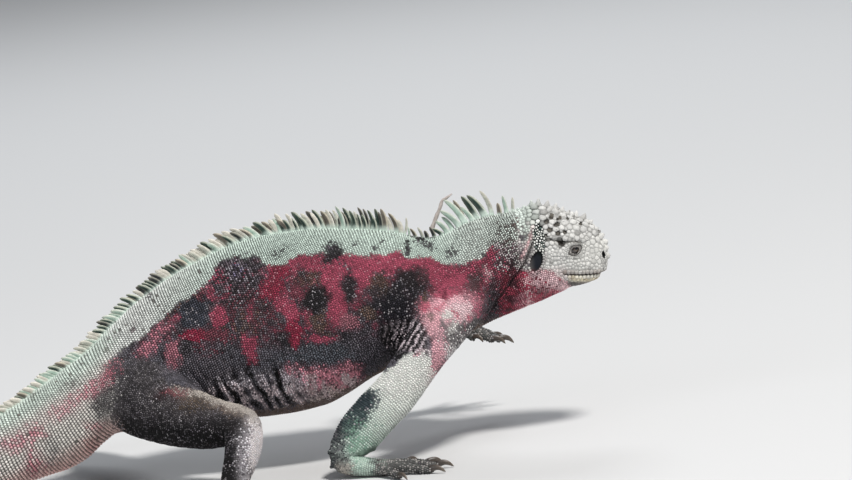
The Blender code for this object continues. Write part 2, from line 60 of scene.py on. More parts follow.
# ---------------------------------------------------------------- the body's sections (as in the solids)
BODY = (
    (117.2, -5.0, 117.0, 107.0, 6.5, 0.45, 2.3, 2.3),
    (116.0, -5.0, 121.8, 104.6, 10.5, 0.44, 2.4, 2.4),
    (113.5, -4.8, 128.0, 102.6, 13.4, 0.43, 2.4, 2.5),
    (109.0, -4.5, 135.4, 98.2, 16.2, 0.42, 2.4, 2.5),
    (104.0, -4.2, 139.4, 95.6, 18.0, 0.42, 2.3, 2.4),
    (97.0, -3.8, 142.8, 94.2, 19.6, 0.42, 2.3, 2.3),
    (90.0, -3.2, 146.4, 93.6, 21.2, 0.42, 2.3, 2.3),
    (84.0, -2.8, 149.0, 92.4, 22.6, 0.42, 2.2, 2.2),
    (77.0, -2.2, 151.2, 90.2, 24.0, 0.42, 2.2, 2.2),
    (70.0, -1.6, 151.6, 87.8, 24.8, 0.43, 2.1, 2.1),
    (63.0, -1.0, 151.0, 85.9, 24.6, 0.44, 2.0, 2.0),
    (56.0, -0.5, 149.6, 84.0, 24.0, 0.45, 1.9, 2.0),
    (48.0, 0.0, 148.6, 82.0, 24.6, 0.45, 1.85, 2.0),
    (40.0, 0.4, 148.0, 79.6, 26.8, 0.45, 1.8, 2.0),
    (28.0, 1.0, 145.4, 75.0, 31.5, 0.45, 1.8, 2.0),
    (16.0, 1.8, 140.8, 71.2, 36.5, 0.45, 1.8, 2.0),
    (4.0, 2.6, 138.4, 67.8, 40.0, 0.45, 1.8, 2.0),
    (-8.0, 3.4, 140.6, 64.6, 42.5, 0.45, 1.75, 2.05),
    (-20.0, 4.4, 145.0, 60.6, 44.5, 0.45, 1.75, 2.1),
    (-35.0, 5.6, 148.0, 55.0, 46.8, 0.45, 1.75, 2.15),
    (-50.0, 6.6, 150.2, 48.4, 48.8, 0.45, 1.75, 2.2),
    (-65.0, 7.4, 152.0, 40.8, 50.2, 0.45, 1.75, 2.2),
    (-80.0, 8.0, 152.8, 35.8, 51.0, 0.45, 1.75, 2.2),
    (-95.0, 8.0, 153.0, 33.8, 51.0, 0.45, 1.75, 2.2),
    (-115.0, 7.6, 151.5, 33.2, 49.6, 0.46, 1.75, 2.2),
    (-136.0, 6.6, 146.8, 33.6, 45.8, 0.47, 1.75, 2.1),
    (-150.0, 5.6, 141.2, 34.2, 42.0, 0.48, 1.75, 2.1),
    (-164.0, 4.6, 136.0, 35.0, 38.0, 0.49, 1.75, 2.0),
    (-185.0, 3.0, 125.2, 36.0, 32.8, 0.50, 1.8, 2.0),
    (-206.0, 1.2, 111.2, 36.6, 29.0, 0.50, 1.8, 2.0),
    (-218.0, 0.0, 102.2, 35.0, 27.6, 0.49, 1.8, 2.0),
    (-228.0, -1.2, 94.2, 29.6, 27.2, 0.48, 1.8, 2.0),
    (-240.0, -3.2, 86.6, 21.2, 26.6, 0.46, 1.8, 2.1),
    (-252.0, -6.0, 79.8, 16.6, 25.4, 0.46, 1.8, 2.1),
    (-265.0, -9.6, 72.6, 14.2, 23.8, 0.46, 1.8, 2.1),
    (-280.0, -14.6, 64.2, 12.0, 21.8, 0.46, 1.8, 2.1),
    (-295.0, -20.2, 57.8, 8.6, 20.0, 0.46, 1.8, 2.1),
    (-315.0, -28.4, 50.6, 3.8, 18.2, 0.47, 1.8, 2.1),
    (-335.0, -36.6, 44.8, 0.6, 16.6, 0.47, 1.8, 2.1),
    (-355.0, -44.4, 40.2, -0.5, 15.2, 0.47, 1.8, 2.1),
    (-380.0, -53.0, 36.2, -0.5, 13.7, 0.47, 1.8, 2.1),
    (-420.0, -62.6, 31.8, -0.5, 11.7, 0.47, 1.8, 2.1),
    (-470.0, -66.0, 27.6, -0.5, 9.9, 0.47, 1.8, 2.1),
    (-520.0, -60.0, 23.6, -0.5, 8.2, 0.47, 1.8, 2.1),
    (-570.0, -46.0, 19.6, -0.5, 6.8, 0.47, 1.9, 2.0),
    (-620.0, -26.6, 15.6, -0.4, 5.4, 0.47, 1.9, 2.0),
    (-670.0, -5.6, 11.2, -0.4, 4.0, 0.47, 2.0, 2.0),
    (-705.0, 8.0, 7.8, -0.3, 2.9, 0.47, 2.0, 2.0),
    (-728.0, 15.0, 4.6, 0.0, 1.9, 0.5, 2.0, 2.0),
)
TABLE = np.array(BODY)[::-1]


def slopes(x, y):
    """Tangents of a monotone cubic through (x, y)."""
    h, d = np.diff(x), np.diff(y) / np.diff(x)
    m = np.zeros(len(x))
    m[0], m[-1] = d[0], d[-1]
    same = d[:-1] * d[1:] > 0
    w1, w2 = 2 * h[1:] + h[:-1], h[1:] + 2 * h[:-1]
    with np.errstate(divide="ignore", invalid="ignore"):
        mid = (w1 + w2) / (w1 / d[:-1] + w2 / d[1:])
    m[1:-1] = np.where(same, mid, 0.0)
    return m


def dense_sections(xs):
    """(middle y, top, bottom, half width, widest share, upper, lower roundness) at each x."""
    tx = TABLE[:, 0]
    x = np.clip(xs, tx[0], tx[-1])
    i = np.clip(np.searchsorted(tx, x) - 1, 0, len(tx) - 2)
    h = tx[i + 1] - tx[i]
    t = (x - tx[i]) / h
    out = []
    for k in range(1, 8):
        m = slopes(tx, TABLE[:, k])
        a, b = TABLE[i, k], TABLE[i + 1, k]
        out.append(
            a * (1 + 2 * t) * (1 - t) ** 2
            + m[i] * h * t * (1 - t) ** 2
            + b * t * t * (3 - 2 * t)
            + m[i + 1] * h * t * t * (t - 1)
        )
    return np.stack(out, 1)


GRID_X0, GRID_STEP = -740.0, 0.25
SECT = dense_sections(np.arange(GRID_X0, 130.0, GRID_STEP))


def section(x):
    """Sections at an array of x, read from the dense table."""
    q = np.clip((np.asarray(x, float) - GRID_X0) / GRID_STEP, 0, len(SECT) - 1.001)
    i = q.astype(int)
    t = (q - i)[..., None]
    return SECT[i] * (1 - t) + SECT[i + 1] * t


# ---------------------------------------------------------------- small maths
def smin(a, b, k):
    h = np.maximum(k - np.abs(a - b), 0.0) / k
    return np.minimum(a, b) - h * h * k * 0.25


def smax(a, b, k):
    return -smin(-a, -b, k)


def unit(v):
    return v / np.maximum(np.linalg.norm(v, axis=-1, keepdims=True), 1e-9)


def ramp(x, a, b):
    """0 at a, 1 at b, eased; a may be over b."""
    t = np.clip((x - a) / (b - a), 0, 1)
    return t * t * (3 - 2 * t)


def hash3(i, j, k, seed):
    h = (i * 374761393 + j * 668265263 + k * 2147483647 + seed * 974634777) & 0xFFFFFFFF
    h = ((h ^ (h >> 13)) * 1274126177) & 0xFFFFFFFF
    return ((h ^ (h >> 16)) & 0xFFFF) / 65535.0


def noise(p, size, seed=0):
    """Smooth value noise, -1 to 1, with lumps about size mm across."""
    q = p / size
    i = np.floor(q).astype(np.int64)
    f = q - i
    u = f * f * (3 - 2 * f)
    out = 0.0
    for a in (0, 1):
        for b in (0, 1):
            for c in (0, 1):
                w = (u[:, 0] if a else 1 - u[:, 0]) * (u[:, 1] if b else 1 - u[:, 1]) * (u[:, 2] if c else 1 - u[:, 2])
                out = out + w * hash3(i[:, 0] + a, i[:, 1] + b, i[:, 2] + c, seed)
    return out * 2 - 1


def fbm(p, size, seed=0, octaves=3):
    total, amp, norm = 0.0, 1.0, 0.0
    for o in range(octaves):
        total = total + amp * noise(p, size / 2**o, seed + 17 * o)
        norm += amp
        amp *= 0.55
    return total / norm


def line_distance(px, pz, points):
    """Distance in the side view from each point to a polyline, and the share along it."""
    pts = np.array(points, float)
    seg = np.diff(pts, axis=0)
    length = np.linalg.norm(seg, axis=1)
    total, before = length.sum(), np.concatenate([[0], np.cumsum(length)])
    best, share = np.full(len(px), 1e9), np.zeros(len(px))
    for k in range(len(seg)):
        vx, vz = px - pts[k, 0], pz - pts[k, 1]
        t = np.clip((vx * seg[k, 0] + vz * seg[k, 1]) / length[k] ** 2, 0, 1)
        d = np.hypot(vx - t * seg[k, 0], vz - t * seg[k, 1])
        closer = d < best
        best = np.where(closer, d, best)
        share = np.where(closer, (before[k] + t * length[k]) / total, share)
    return best, share


# ---------------------------------------------------------------- limbs (as in the solids)
RIGHT_ARM = (
    ("upper_arm", (16, -24, 98), 19, 19),
    (None, (5, -38, 86.5), 18, 16.5),
    (None, (-10, -49, 71.5), 15.6, 13.6),
    ("forearm", (-30, -61, 50.5), 15.4, 12.4),
    (None, (-47.5, -67, 36.5), 15.4, 12.6),
    (None, (-61, -71.5, 24), 14.6, 11.6),
    ("hand", (-69.5, -74.5, 12.8), 10.4, 10.0),
    (None, (-61, -77, 7.2), 6.6, 9.8),
    (None, (-47, -79.5, 4.7), 5.5, 10.2),
    (None, (-37, -81.0, 4.0), 4.8, 8.6),
)
LEFT_ARM = (
    ("upper_arm", (16, 24, 98), 19, 19),
    (None, (4, 42, 101), 17.5, 17),
    (None, (-12, 58, 105.5), 14.6, 14.6),
    ("forearm", (-28, 70.5, 106.5), 12.8, 13.2),
    (None, (-26, 80, 94.5), 12.8, 12.8),
    (None, (-20, 84.5, 84), 11.8, 11.4),
    ("hand", (-13, 87, 74), 8.6, 9.4),
    (None, (-4, 89.5, 68), 6.2, 9.6),
    (None, (8, 91.5, 65), 5.0, 10.2),
    (None, (17, 93, 63), 4.2, 8.6),
)
RIGHT_LEG = (
    ("thigh", (-212, -8, 66), 24, 24),
    (None, (-197, -24, 59.5), 26.5, 24),
    (None, (-176, -42, 49.5), 21.5, 21.0),
    (None, (-153, -57, 43.0), 17.0, 17.0),
    ("shin", (-134.5, -69, 42.3), 12.4, 13.2),
    (None, (-132.5, -79, 34), 12.6, 12.6),
    (None, (-135.5, -93, 23), 11.6, 10.8),
    ("foot", (-140, -104, 11.5), 8.2, 9.2),
    (None, (-133, -109, 6.8), 6.2, 9.4),
    (None, (-119, -117, 4.7), 5.5, 10.6),
    (None, (-107, -123.5, 4.0), 4.8, 9.0),
)
LEFT_LEG = (
    ("thigh", (-206, 6, 66), 24, 24),
    (None, (-210, 28, 64), 25, 24),
    (None, (-217, 52, 58.5), 22, 22),
    (None, (-225, 75, 53), 17.5, 18),
    ("shin", (-236, 95, 47), 13.6, 14.0),
    (None, (-252, 103, 38), 13.0, 12.8),
    (None, (-274, 109.5, 25.5), 11.4, 10.8),
    ("foot", (-294, 114, 12), 8.4, 9.2),
    (None, (-290, 121, 7.0), 6.2, 9.4),
    (None, (-283, 134, 4.7), 5.5, 10.6),
    (None, (-277, 145, 4.0), 4.8, 9.0),
)
# share across the foot, turn outwards, length, half breadth, claw length
FINGERS = (
    (-0.80, -46, 15, 3.1, 8.5),
    (-0.42, -20, 22, 3.3, 9.5),
    (0.0, -2, 27, 3.4, 10.0),
    (0.42, 16, 27, 3.3, 10.0),
    (0.80, 48, 18, 3.0, 8.5),
)
TOES = (
    (-0.80, -44, 15, 3.2, 9.0),
    (-0.42, -20, 24, 3.4, 10.0),
    (0.0, -4, 34, 3.5, 10.5),
    (0.42, 12, 44, 3.5, 11.0),
    (0.75, 62, 26, 3.1, 9.0),
)
GAP = 0.34


def spline(points, per):
    """Catmull-Rom through rows of numbers, per steps between two rows."""
    p = np.array(points, float)
    ext = np.vstack([2 * p[0] - p[1], p, 2 * p[-1] - p[-2]])
    out = []
    for i in range(1, len(ext) - 2):
        for s in range(per):
            t = s / per
            a, b, c, d = ext[i - 1 : i + 3]
            out.append(0.5 * ((2 * b) + (c - a) * t + (2 * a - 5 * b + 4 * c - d) * t * t + (3 * b - a - 3 * c + d) * t**3))
    out.append(p[-1])
    return np.array(out)


class Tube:
    """A flattened tube along a curve: centre, half depth (up) and half breadth (across)."""

    def __init__(self, name, rows, per, ups=None):
        self.name = name
        q = spline([(*c, d, b) for c, d, b in rows], per)
        self.c, self.deep, self.broad = q[:, :3], q[:, 3], q[:, 4]
        way = unit(np.gradient(self.c, axis=0))
        if ups is None:
            across = unit(np.cross(way, [0, 0, 1.0]))
            # where the limb is nearly upright the last good direction holds
            for i in range(1, len(across)):
                if across[i] @ across[i - 1] < 0:
                    across[i] = -across[i]
            up = unit(np.cross(across, way))
        else:
            across = unit(np.cross(way, ups))
            up = unit(np.cross(across, way))
        self.way, self.across, self.up = way, across, up
        self.s = np.concatenate([[0], np.cumsum(np.linalg.norm(np.diff(self.c, axis=0), axis=1))])
        r = np.maximum(self.deep, self.broad)
        self.lo, self.hi = (self.c - r[:, None]).min(0), (self.c + r[:, None]).max(0)

    def near(self, p):
        """(distance, s along the tube, angle round it) for each point."""
        best = np.full(len(p), 1e9)
        s_at, ang = np.zeros(len(p)), np.zeros(len(p))
        last = len(self.c) - 2
        d2 = (self.c**2).sum(1)[None] - 2 * p @ self.c.T
        node = d2.argmin(1)
        for shift in (-1, 0):
            k = np.clip(node + shift, 0, last)
            a = self.c[k]
            ab = self.c[k + 1] - a
            size = (ab * ab).sum(1)
            t = np.clip(((p - a) * ab).sum(1) / size, 0, 1)[:, None]
            v = p - (a + t * ab)
            across = self.across[k] * (1 - t) + self.across[k + 1] * t
            up = self.up[k] * (1 - t) + self.up[k + 1] * t
            t = t[:, 0]
            deep = self.deep[k] * (1 - t) + self.deep[k + 1] * t
            broad = self.broad[k] * (1 - t) + self.broad[k + 1] * t
            x = np.einsum("ij,ij->i", v, across)
            y = np.einsum("ij,ij->i", v, up)
            w = (v * ab).sum(1) / np.sqrt(size)
            mean = np.minimum(deep, broad)
            k0 = np.sqrt((x / broad) ** 2 + (y / deep) ** 2 + (w / mean) ** 2)
            k1 = np.sqrt((x / broad**2) ** 2 + (y / deep**2) ** 2 + (w / mean**2) ** 2)
            d = np.where(k0 < 0.2, -mean * (1 - k0), k0 * (k0 - 1) / np.maximum(k1, 1e-9))
            closer = d < best
            best = np.where(closer, d, best)
            s_at = np.where(closer, self.s[k] + t * (self.s[k + 1] - self.s[k]), s_at)
            ang = np.where(closer, np.arctan2(y, x), ang)
        return best, s_at, ang

    def frame_at(self, s):
        """Centre, way, across, up, half depth, half breadth at each s."""
        return [np.stack([np.interp(s, self.s, v[:, j]) for j in range(3)], -1) for v in (self.c, self.way, self.across, self.up)] + [
            np.interp(s, self.s, self.deep),
            np.interp(s, self.s, self.broad),
        ]


def toe_plan(chain, toes, side):
    """Each toe's centre line and its claw's base: the same layout as the solids."""
    tip, root = np.array(chain[-1][1], float), np.array(chain[-3][1], float)
    lifted = tip[2] > 20
    way = tip - root
    if not lifted:
        way[2] = 0.0
    way = unit(way)
    out = unit(np.array([-way[1], way[0], 0.0])) * side
    if out[1] * side < 0:
        out = -out
    up = np.cross(way, out)
    if up[2] < 0:
        up = -up
    base = tip - up * (4.6 if lifted else tip[2])
    half = chain[-1][3]
    plans = []
    for share, turn, length, broad, claw in toes:
        a = math.radians(turn)
        go = unit(way * math.cos(a) + out * math.sin(a))
        start = base + out * half * share - way * (5.0 + 7.0 * share**2)
        reach = length + 5.0
        droop = 0.16 * reach if lifted else 0.0
        rows = []
        for t in np.linspace(0, 1, 9):
            z = np.interp(t, (0, 0.4, 0.76, 1.0), (4.4, 4.6, 2.9, 2.4))
            w = np.interp(t, (0, 0.4, 0.76, 1.0), (1.0, 1.0, 0.96, 0.80))
            # joints of the toe swell a little
            w *= 1.0 + 0.07 * math.cos(2 * math.pi * (t - 0.12) * (2 if length < 18 else 3))
            c = start + go * reach * t + up * (z - droop * t * t)
            rows.append((c, broad * w * 1.0, broad * w * 1.04))
        end = start + go * reach - up * droop
        plans.append({"rows": rows, "up": up, "go": go, "end": end, "broad": broad, "claw": claw, "across": unit(np.cross(up, go))})
    return plans


LIMBS = {
    "right_fore": (RIGHT_ARM, FINGERS, -1),
    "left_fore": (LEFT_ARM, FINGERS, 1),
    "right_hind": (RIGHT_LEG, TOES, -1),
    "left_hind": (LEFT_LEG, TOES, 1),
}
TUBES, TOE_TUBES, CLAW_PLANS = {}, {}, {}
for limb, (chain, toes, side) in LIMBS.items():
    TUBES[limb] = Tube(limb, [(c, d, b) for _, c, d, b in chain], 4)
    plans = toe_plan(chain, toes, side)
    CLAW_PLANS[limb] = plans
    TOE_TUBES[limb] = [Tube(f"{limb}_{n}", plan["rows"], 1, plan["up"]) for n, plan in enumerate(plans, 1)]


# ---------------------------------------------------------------- the shape as one field
def body_field(p):
    yc, top, low, half, share, up, down = section(p[:, 0]).T
    mid = low + share * (top - low)
    dz = p[:, 2] - mid
    dy = np.abs(p[:, 1] - yc)
    b = np.where(dz > 0, top - mid, mid - low)
    n = np.where(dz > 0, up, down)
    u, v = dy / half, np.abs(dz) / b
    g = u**n + v**n
    rho = np.maximum(g, 1e-6) ** (1 / n)
    gu, gv = u ** (n - 1) / half, v ** (n - 1) / b
    grad = np.sqrt(gu * gu + gv * gv) * rho ** (1 - n)
    d = (rho - 1) / np.maximum(grad, 0.5 / np.maximum(half, b))
    d = smax(d, p[:, 0] - 117.4, 3.0)
    return smax(d, -727.8 - p[:, 0], 1.0)


def in_box(p, lo, hi, margin):
    return np.all((p > lo - margin) & (p < hi + margin), axis=1)


def limb_field(p, limb):
    tube = TUBES[limb]
    d = np.full(len(p), 1e3)
    near = in_box(p, tube.lo, tube.hi, 14.0)
    if near.any():
        d[near] = tube.near(p[near])[0]
    for toe in TOE_TUBES[limb]:
        near = in_box(p, toe.lo, toe.hi, 8.0)
        if near.any():
            d[near] = smin(d[near], toe.near(p[near])[0], 2.4)
    return d


# ---------------------------------------------------------------- folds, lids and pits (side view: x, z)
MOUTH = [(86.6, 107.4), (88.8, 106.2), (92.3, 105.9), (98.1, 104.8), (104.7, 104.2), (109.9, 103.6), (113.4, 103.2), (119.5, 102.4)]
LOWER_LIP = [(90.6, 103.6), (95.0, 102.2), (101.0, 100.8), (107.0, 100.2), (112.5, 100.2), (118.0, 100.0)]
BROW = [(84.5, 130.2), (89.4, 127.4), (93.5, 127.6), (98.1, 127.0), (102.4, 125.0)]
BROW_RIDGE = [(86.0, 132.6), (91.0, 130.6), (96.0, 130.4), (101.0, 128.8), (105.0, 126.0)]
CHEEK_FOLD = [(74.4, 129.8), (76.8, 130.7), (80.6, 130.9), (83.8, 129.8), (86.4, 127.8), (89.3, 125.6)]
NECK_RIDGE = [(71.6, 141.0), (69.4, 137.0), (66.9, 131.8), (64.0, 126.4), (60.4, 121.0)]
NECK_CREASE = [(74.6, 140.5), (71.6, 135.6), (69.4, 130.6), (66.2, 124.6), (62.3, 117.4), (57.0, 111.4), (51.7, 106.0), (43.9, 97.0), (36.0, 86.5)]
SECOND_CREASE = [(58.6, 124.0), (55.1, 118.6), (49.3, 109.9), (44.3, 101.1), (38.0, 91.0), (33.0, 84.0)]
THROAT_FOLD = [(84.0, 99.5), (76.0, 93.5), (66.0, 90.0), (54.0, 87.0), (44.0, 83.0)]
NOSTRIL = np.array([114.6, 11.4, 115.6])
EAR, EAR_SIZE, EAR_TILT = np.array([70.0, 117.8]), (4.0, 6.8), math.radians(24)
# hollows between the temple's bosses: x, z, half width, half height
PITS = [(79.9, 142.3, 1.7, 1.5), (83.4, 144.1, 1.4, 1.2), (86.2, 139.6, 2.2, 1.3), (81.3, 137.1, 1.9, 1.6), (86.4, 134.1, 1.8, 1.5), (91.1, 134.2, 1.4, 1.3),
        (78.3, 133.7, 1.3, 1.1), (87.4, 142.4, 0.9, 0.7), (94.1, 142.0, 0.9, 1.1), (102.2, 137.3, 1.1, 0.8), (98.6, 141.0, 0.9, 0.7), (75.2, 139.4, 1.2, 1.4)]
LID_AT, LID_SIZE, LID_TILT = np.array([96.2, 121.7]), (2.8, 1.85), math.radians(24)


def lid_share(x, z):
    """1 on the edge of the eye's opening, less inside, more outside."""
    c, s = math.cos(LID_TILT), math.sin(LID_TILT)
    u = ((x - LID_AT[0]) * c + (z - LID_AT[1]) * s) / LID_SIZE[0]
    v = (-(x - LID_AT[0]) * s + (z - LID_AT[1]) * c) / LID_SIZE[1]
    return np.abs(np.abs(u) ** 1.6 + np.abs(v) ** 1.45) ** (1 / 1.52)


def ear_share(x, z):
    c, s = math.cos(EAR_TILT), math.sin(EAR_TILT)
    u = ((x - EAR[0]) * c - (z - EAR[1]) * s) / EAR_SIZE[0]
    v = ((x - EAR[0]) * s + (z - EAR[1]) * c) / EAR_SIZE[1]
    return np.hypot(u, v)


def pit_share(x, z):
    """Below 1 inside the nearest hollow of the temple."""
    out = np.full(len(x), 9.0)
    for px, pz, a, b in PITS:
        out = np.minimum(out, np.hypot((x - px) / a, (z - pz) / b) / 1.18)
    return out


def nostril_share(p, side_y):
    """Below 1 inside the nostril, an upright oval."""
    u = (p[:, 0] - NOSTRIL[0]) * 0.80 - (side_y - NOSTRIL[1]) * 0.60
    v = p[:, 2] - NOSTRIL[2]
    return np.hypot((u + 0.25 * v) / 1.7, (v - 0.1 * u) / 2.3) + 0.15 * np.abs((p[:, 0] - NOSTRIL[0]) * 0.6 + (side_y - NOSTRIL[1]) * 0.8) / 2


def flank_folds(p, side_y, side):
    """Slack folds low on the flank: how strong, and how deep (1 in a groove)."""
    x, z = p[:, 0], p[:, 2]
    w = np.exp(-(((x + 119 - 0.42 * (z - 60)) / 31) ** 4) - ((z - 57) / 15) ** 2) * ramp(side_y, 18.0, 28.0)
    phase = (x * 0.93 + z * 0.31 + 3.6 * noise(p, 17.0, 6) + 1.3 * noise(p, 6.0, 5) + 4.4 + side) * 2 * math.pi / 8.2
    # each fold has its own depth
    number = np.floor(phase / (2 * math.pi) + 0.5)
    depth = 0.95 + 0.35 * np.sin(number * 2.7 + 0.6)
    groove = (0.5 + 0.5 * np.cos(phase)) ** 1.08 * np.clip(depth + 0.85 * noise(p, 9.0, 12), 0.0, 1.2)
    return w, groove


def armpit_folds(p, side_y, yc):
    """Fine folds that fan out above and behind the armpit."""
    across, down = in_photo(p, yc)
    u, v = across - 380.0, 386.0 - down
    r = np.hypot(u, v)
    a = np.arctan2(v, u)
    w = np.exp(-(((r - 58) / 19.0) ** 4)) * ramp(side_y, 14, 22) * ramp(a, 0.66, 0.86) * ramp(a, 1.66, 1.46)
    return w, (0.5 + 0.5 * np.cos(a * 66 + 1.8 * noise(p, 8.0, 8) + 1.0 * noise(p, 3.0, 13))) ** 1.2


def bell(d, width):
    return np.exp(-((d / width) ** 2))


def head_relief(p, side_y):
    x, z = p[:, 0], p[:, 2]
    flank = ramp(side_y, 5.0, 12.0)
    out = np.zeros(len(p))

    def along(points, height, width, ends=0.12, everywhere=False):
        d, share = line_distance(x, z, points)
        fade = ramp(share, 0.0, ends) * ramp(share, 1.0, 1.0 - ends) if ends else 1.0
        return height * bell(d, width) * fade * (1.0 if everywhere else flank)

    out += along(MOUTH, -1.15, 0.55, 0.04, True)
    d, share = line_distance(x, z, MOUTH)
    above = z > 104.0 + 0.12 * np.abs(x - 100)
    out += 0.45 * bell(d - 1.9, 1.1) * np.where(above, 1.0, 0.6) * ramp(share, 0.0, 0.15)
    out += along(LOWER_LIP, 0.75, 1.5, 0.1, True)
    out += along([(88.0, 101.0), (94.0, 97.4), (101.0, 96.0)], -1.0, 1.9)
    out += along(BROW, -1.0, 0.85)
    out += along(BROW_RIDGE, 1.0, 1.9)
    out += along(CHEEK_FOLD, -1.15, 0.9)
    out += along([(76.0, 128.2), (81.0, 128.0), (85.6, 125.4)], 0.5, 1.6)
    out += along(NECK_RIDGE, 1.1, 1.8)
    out += along(NECK_CREASE, -1.9, 1.25, 0.08)
    out += along(SECOND_CREASE, -1.2, 1.0)
    out += along([(60.0, 115.5), (53.0, 108.5), (46.5, 99.5), (41.0, 91.0)], 0.9, 1.9)
    out += along(THROAT_FOLD, -0.8, 1.3)
    out -= 1.1 * ramp(pit_share(x, z), 1.25, 0.6) * ramp(side_y, 3.0, 7.0)
    out -= 1.9 * bell(np.hypot(x - 87.8, (z - 128.0) * 0.75), 2.1) * flank
    hole = nostril_share(p, side_y)
    near = ramp(np.hypot(x - NOSTRIL[0], side_y - NOSTRIL[1]), 6.0, 4.5)
    out -= 2.4 * ramp(hole, 1.15, 0.45) * near
    out += 0.55 * bell((hole - 1.7) * 1.6, 0.9) * near
    ear = ear_share(x, z)
    out -= 1.35 * ramp(ear, 1.12, 0.72) * flank
    out += 0.55 * bell((ear - 1.28) * 4.6, 1.0) * flank
    lid = lid_share(x, z)
    out += 0.16 * np.cos((lid - 1.08) * 2 * math.pi / 0.34) * ramp(lid, 2.2, 1.7) * ramp(lid, 0.9, 1.05) * flank
    out -= 1.15 * bell((lid - 1.80) * 3.0, 0.75) * flank * ramp(lid, 1.1, 1.4)
    out += 0.50 * bell((lid - 2.35) * 2.6, 0.9) * flank
    # the lower jaw is shorter than the snout; jaw muscle, temple and snout forms
    out -= 2.4 * ramp(x, 107.0, 114.0) * ramp(z, 103.8, 102.2)
    out -= 1.3 * ramp(z, 101.0, 98.0) * ramp(x, 84.0, 92.0)
    out += 1.6 * np.exp(-(((x - 78) / 9.0) ** 2) - ((z - 105) / 8.0) ** 2) * flank
    out += 0.9 * np.exp(-(((x - 82) / 8.0) ** 2) - ((z - 121) / 5.0) ** 2) * flank
    out -= 0.9 * np.exp(-(((x - 106) / 5.0) ** 2) - ((z - 121) / 5.0) ** 2) * flank
    return out


def body_relief(p, side_y, yc):
    x, y, z = p.T
    out = 0.55 * noise(p, 26.0, 3) + 0.35 * noise(p, 11.0, 4)
    flank = ramp(side_y, 22.0, 34.0)
    side = np.where(y < yc, 0.0, 40.0)
    w, groove = flank_folds(p, side_y, side)
    out -= w * (2.5 * groove - 0.9)
    # upright folds of the ribs behind the shoulder
    w = np.exp(-(((x + 52) / 26) ** 2) - ((z - 86) / 26) ** 2)
    phase = (x + 0.35 * z + 3.5 * noise(p, 20.0, 7) + side) * 2 * math.pi / 10.5
    out -= 0.55 * w * flank * (0.5 + 0.5 * np.cos(phase)) ** 2.5
    w, groove = armpit_folds(p, side_y, yc)
    out -= w * (1.3 * groove - 0.3)
    # folds between shoulder and neck
    w = np.exp(-(((x - 36) / 13) ** 2) - ((z - 108) / 20) ** 2)
    phase = (x * 0.86 - z * 0.5 + 2.0 * noise(p, 12.0, 9) + side) * 2 * math.pi / 8.2
    out -= 0.7 * w * ramp(side_y, 12, 20) * (0.5 + 0.5 * np.cos(phase)) ** 2
    # groin
    w = np.exp(-(((x + 158) / 13) ** 2) - ((z - 68) / 18) ** 2)
    out -= 0.8 * w * flank * (0.5 + 0.5 * np.cos((x + 0.6 * z + side) * 2 * math.pi / 7.0)) ** 2
    return out


INSET = 0.55


def skin_field(p):
    """The whole skin: below zero inside."""
    body = body_field(p)
    yc = section(p[:, 0])[:, 0]
    side_y = np.abs(p[:, 1] - yc)
    limbs = np.full(len(p), 1e3)
    for limb in TUBES:
        limbs = np.minimum(limbs, limb_field(p, limb))
    both = smin(body, limbs, 9.0)
    near = both < 8.0
    relief = np.zeros(len(p))
    head = near & (p[:, 0] > 20)
    if head.any():
        relief[head] += head_relief(p[head], side_y[head]) * ramp(p[head, 0], 24.0, 36.0)
    trunk = near & (p[:, 0] < 62)
    if trunk.any():
        fade = ramp(p[trunk, 0], 60.0, 46.0) * ramp(limbs[trunk] - body[trunk], -9.0, -2.0)
        fade *= ramp(p[trunk, 0], -330.0, -220.0)
        relief[trunk] += body_relief(p[trunk], side_y[trunk], yc[trunk]) * fade
    if near.any():
        arm = near & (np.abs(p[:, 0] + 40) < 40) & (limbs < body)
        if arm.any():
            q = p[arm]
            fold = np.exp(-(((q[:, 0] + 38) / 9) ** 2) - ((q[:, 2] - 50) / 9) ** 2)
            relief[arm] -= 0.5 * fold * (0.5 + 0.5 * np.cos((q[:, 0] * 0.7 + q[:, 2] * 0.7) * 2 * math.pi / 3.6))
        limb = near & (limbs < body)
        if limb.any():
            relief[limb] += 0.35 * noise(p[limb], 13.0, 11)
    out = both + INSET - relief
    eye = (p[:, 0] > 84) & (p[:, 0] < 108) & (np.abs(p[:, 2] - 122) < 12)
    if eye.any():
        q = np.stack([p[eye, 0] - EYE[0], side_y[eye] - EYE[1], p[eye, 2] - EYE[2]], 1)
        lid = lid_share(p[eye, 0], p[eye, 2])
        dome = np.linalg.norm(q, axis=1) - (EYE_R + 0.85) - 0.16 * np.cos((lid - 1.08) * 2 * math.pi / 0.34) * ramp(lid, 2.1, 1.6)
        d = smin(out[eye], dome, 2.2)
        hole = smax((lid - 1.0) * 2.3, 15.0 - side_y[eye], 0.4)
        out[eye] = smax(d, -hole, 0.5)
    return smax(out, 0.35 - p[:, 2], 0.6)


def gradient(f, p, h=0.12):
    k = np.array([(1, -1, -1), (-1, -1, 1), (-1, 1, -1), (1, 1, 1)], float)
    return sum(f(p + h * e)[:, None] * e for e in k) / (4 * h)


def onto(f, p, steps=2, most=1.0, h=0.12):
    """Moves points onto f = 0."""
    p = p.copy()
    for _ in range(steps):
        g = gradient(f, p, h)
        d = f(p)
        move = g * (d / np.maximum((g * g).sum(1), 0.25))[:, None]
        size = np.linalg.norm(move, axis=1, keepdims=True)
        p -= move * np.minimum(1.0, most / np.maximum(size, 1e-9))
    return p


def chunks(f, p, size=400000):
    return np.concatenate([f(p[i : i + size]) for i in range(0, len(p), size)]) if len(p) else np.zeros(0)


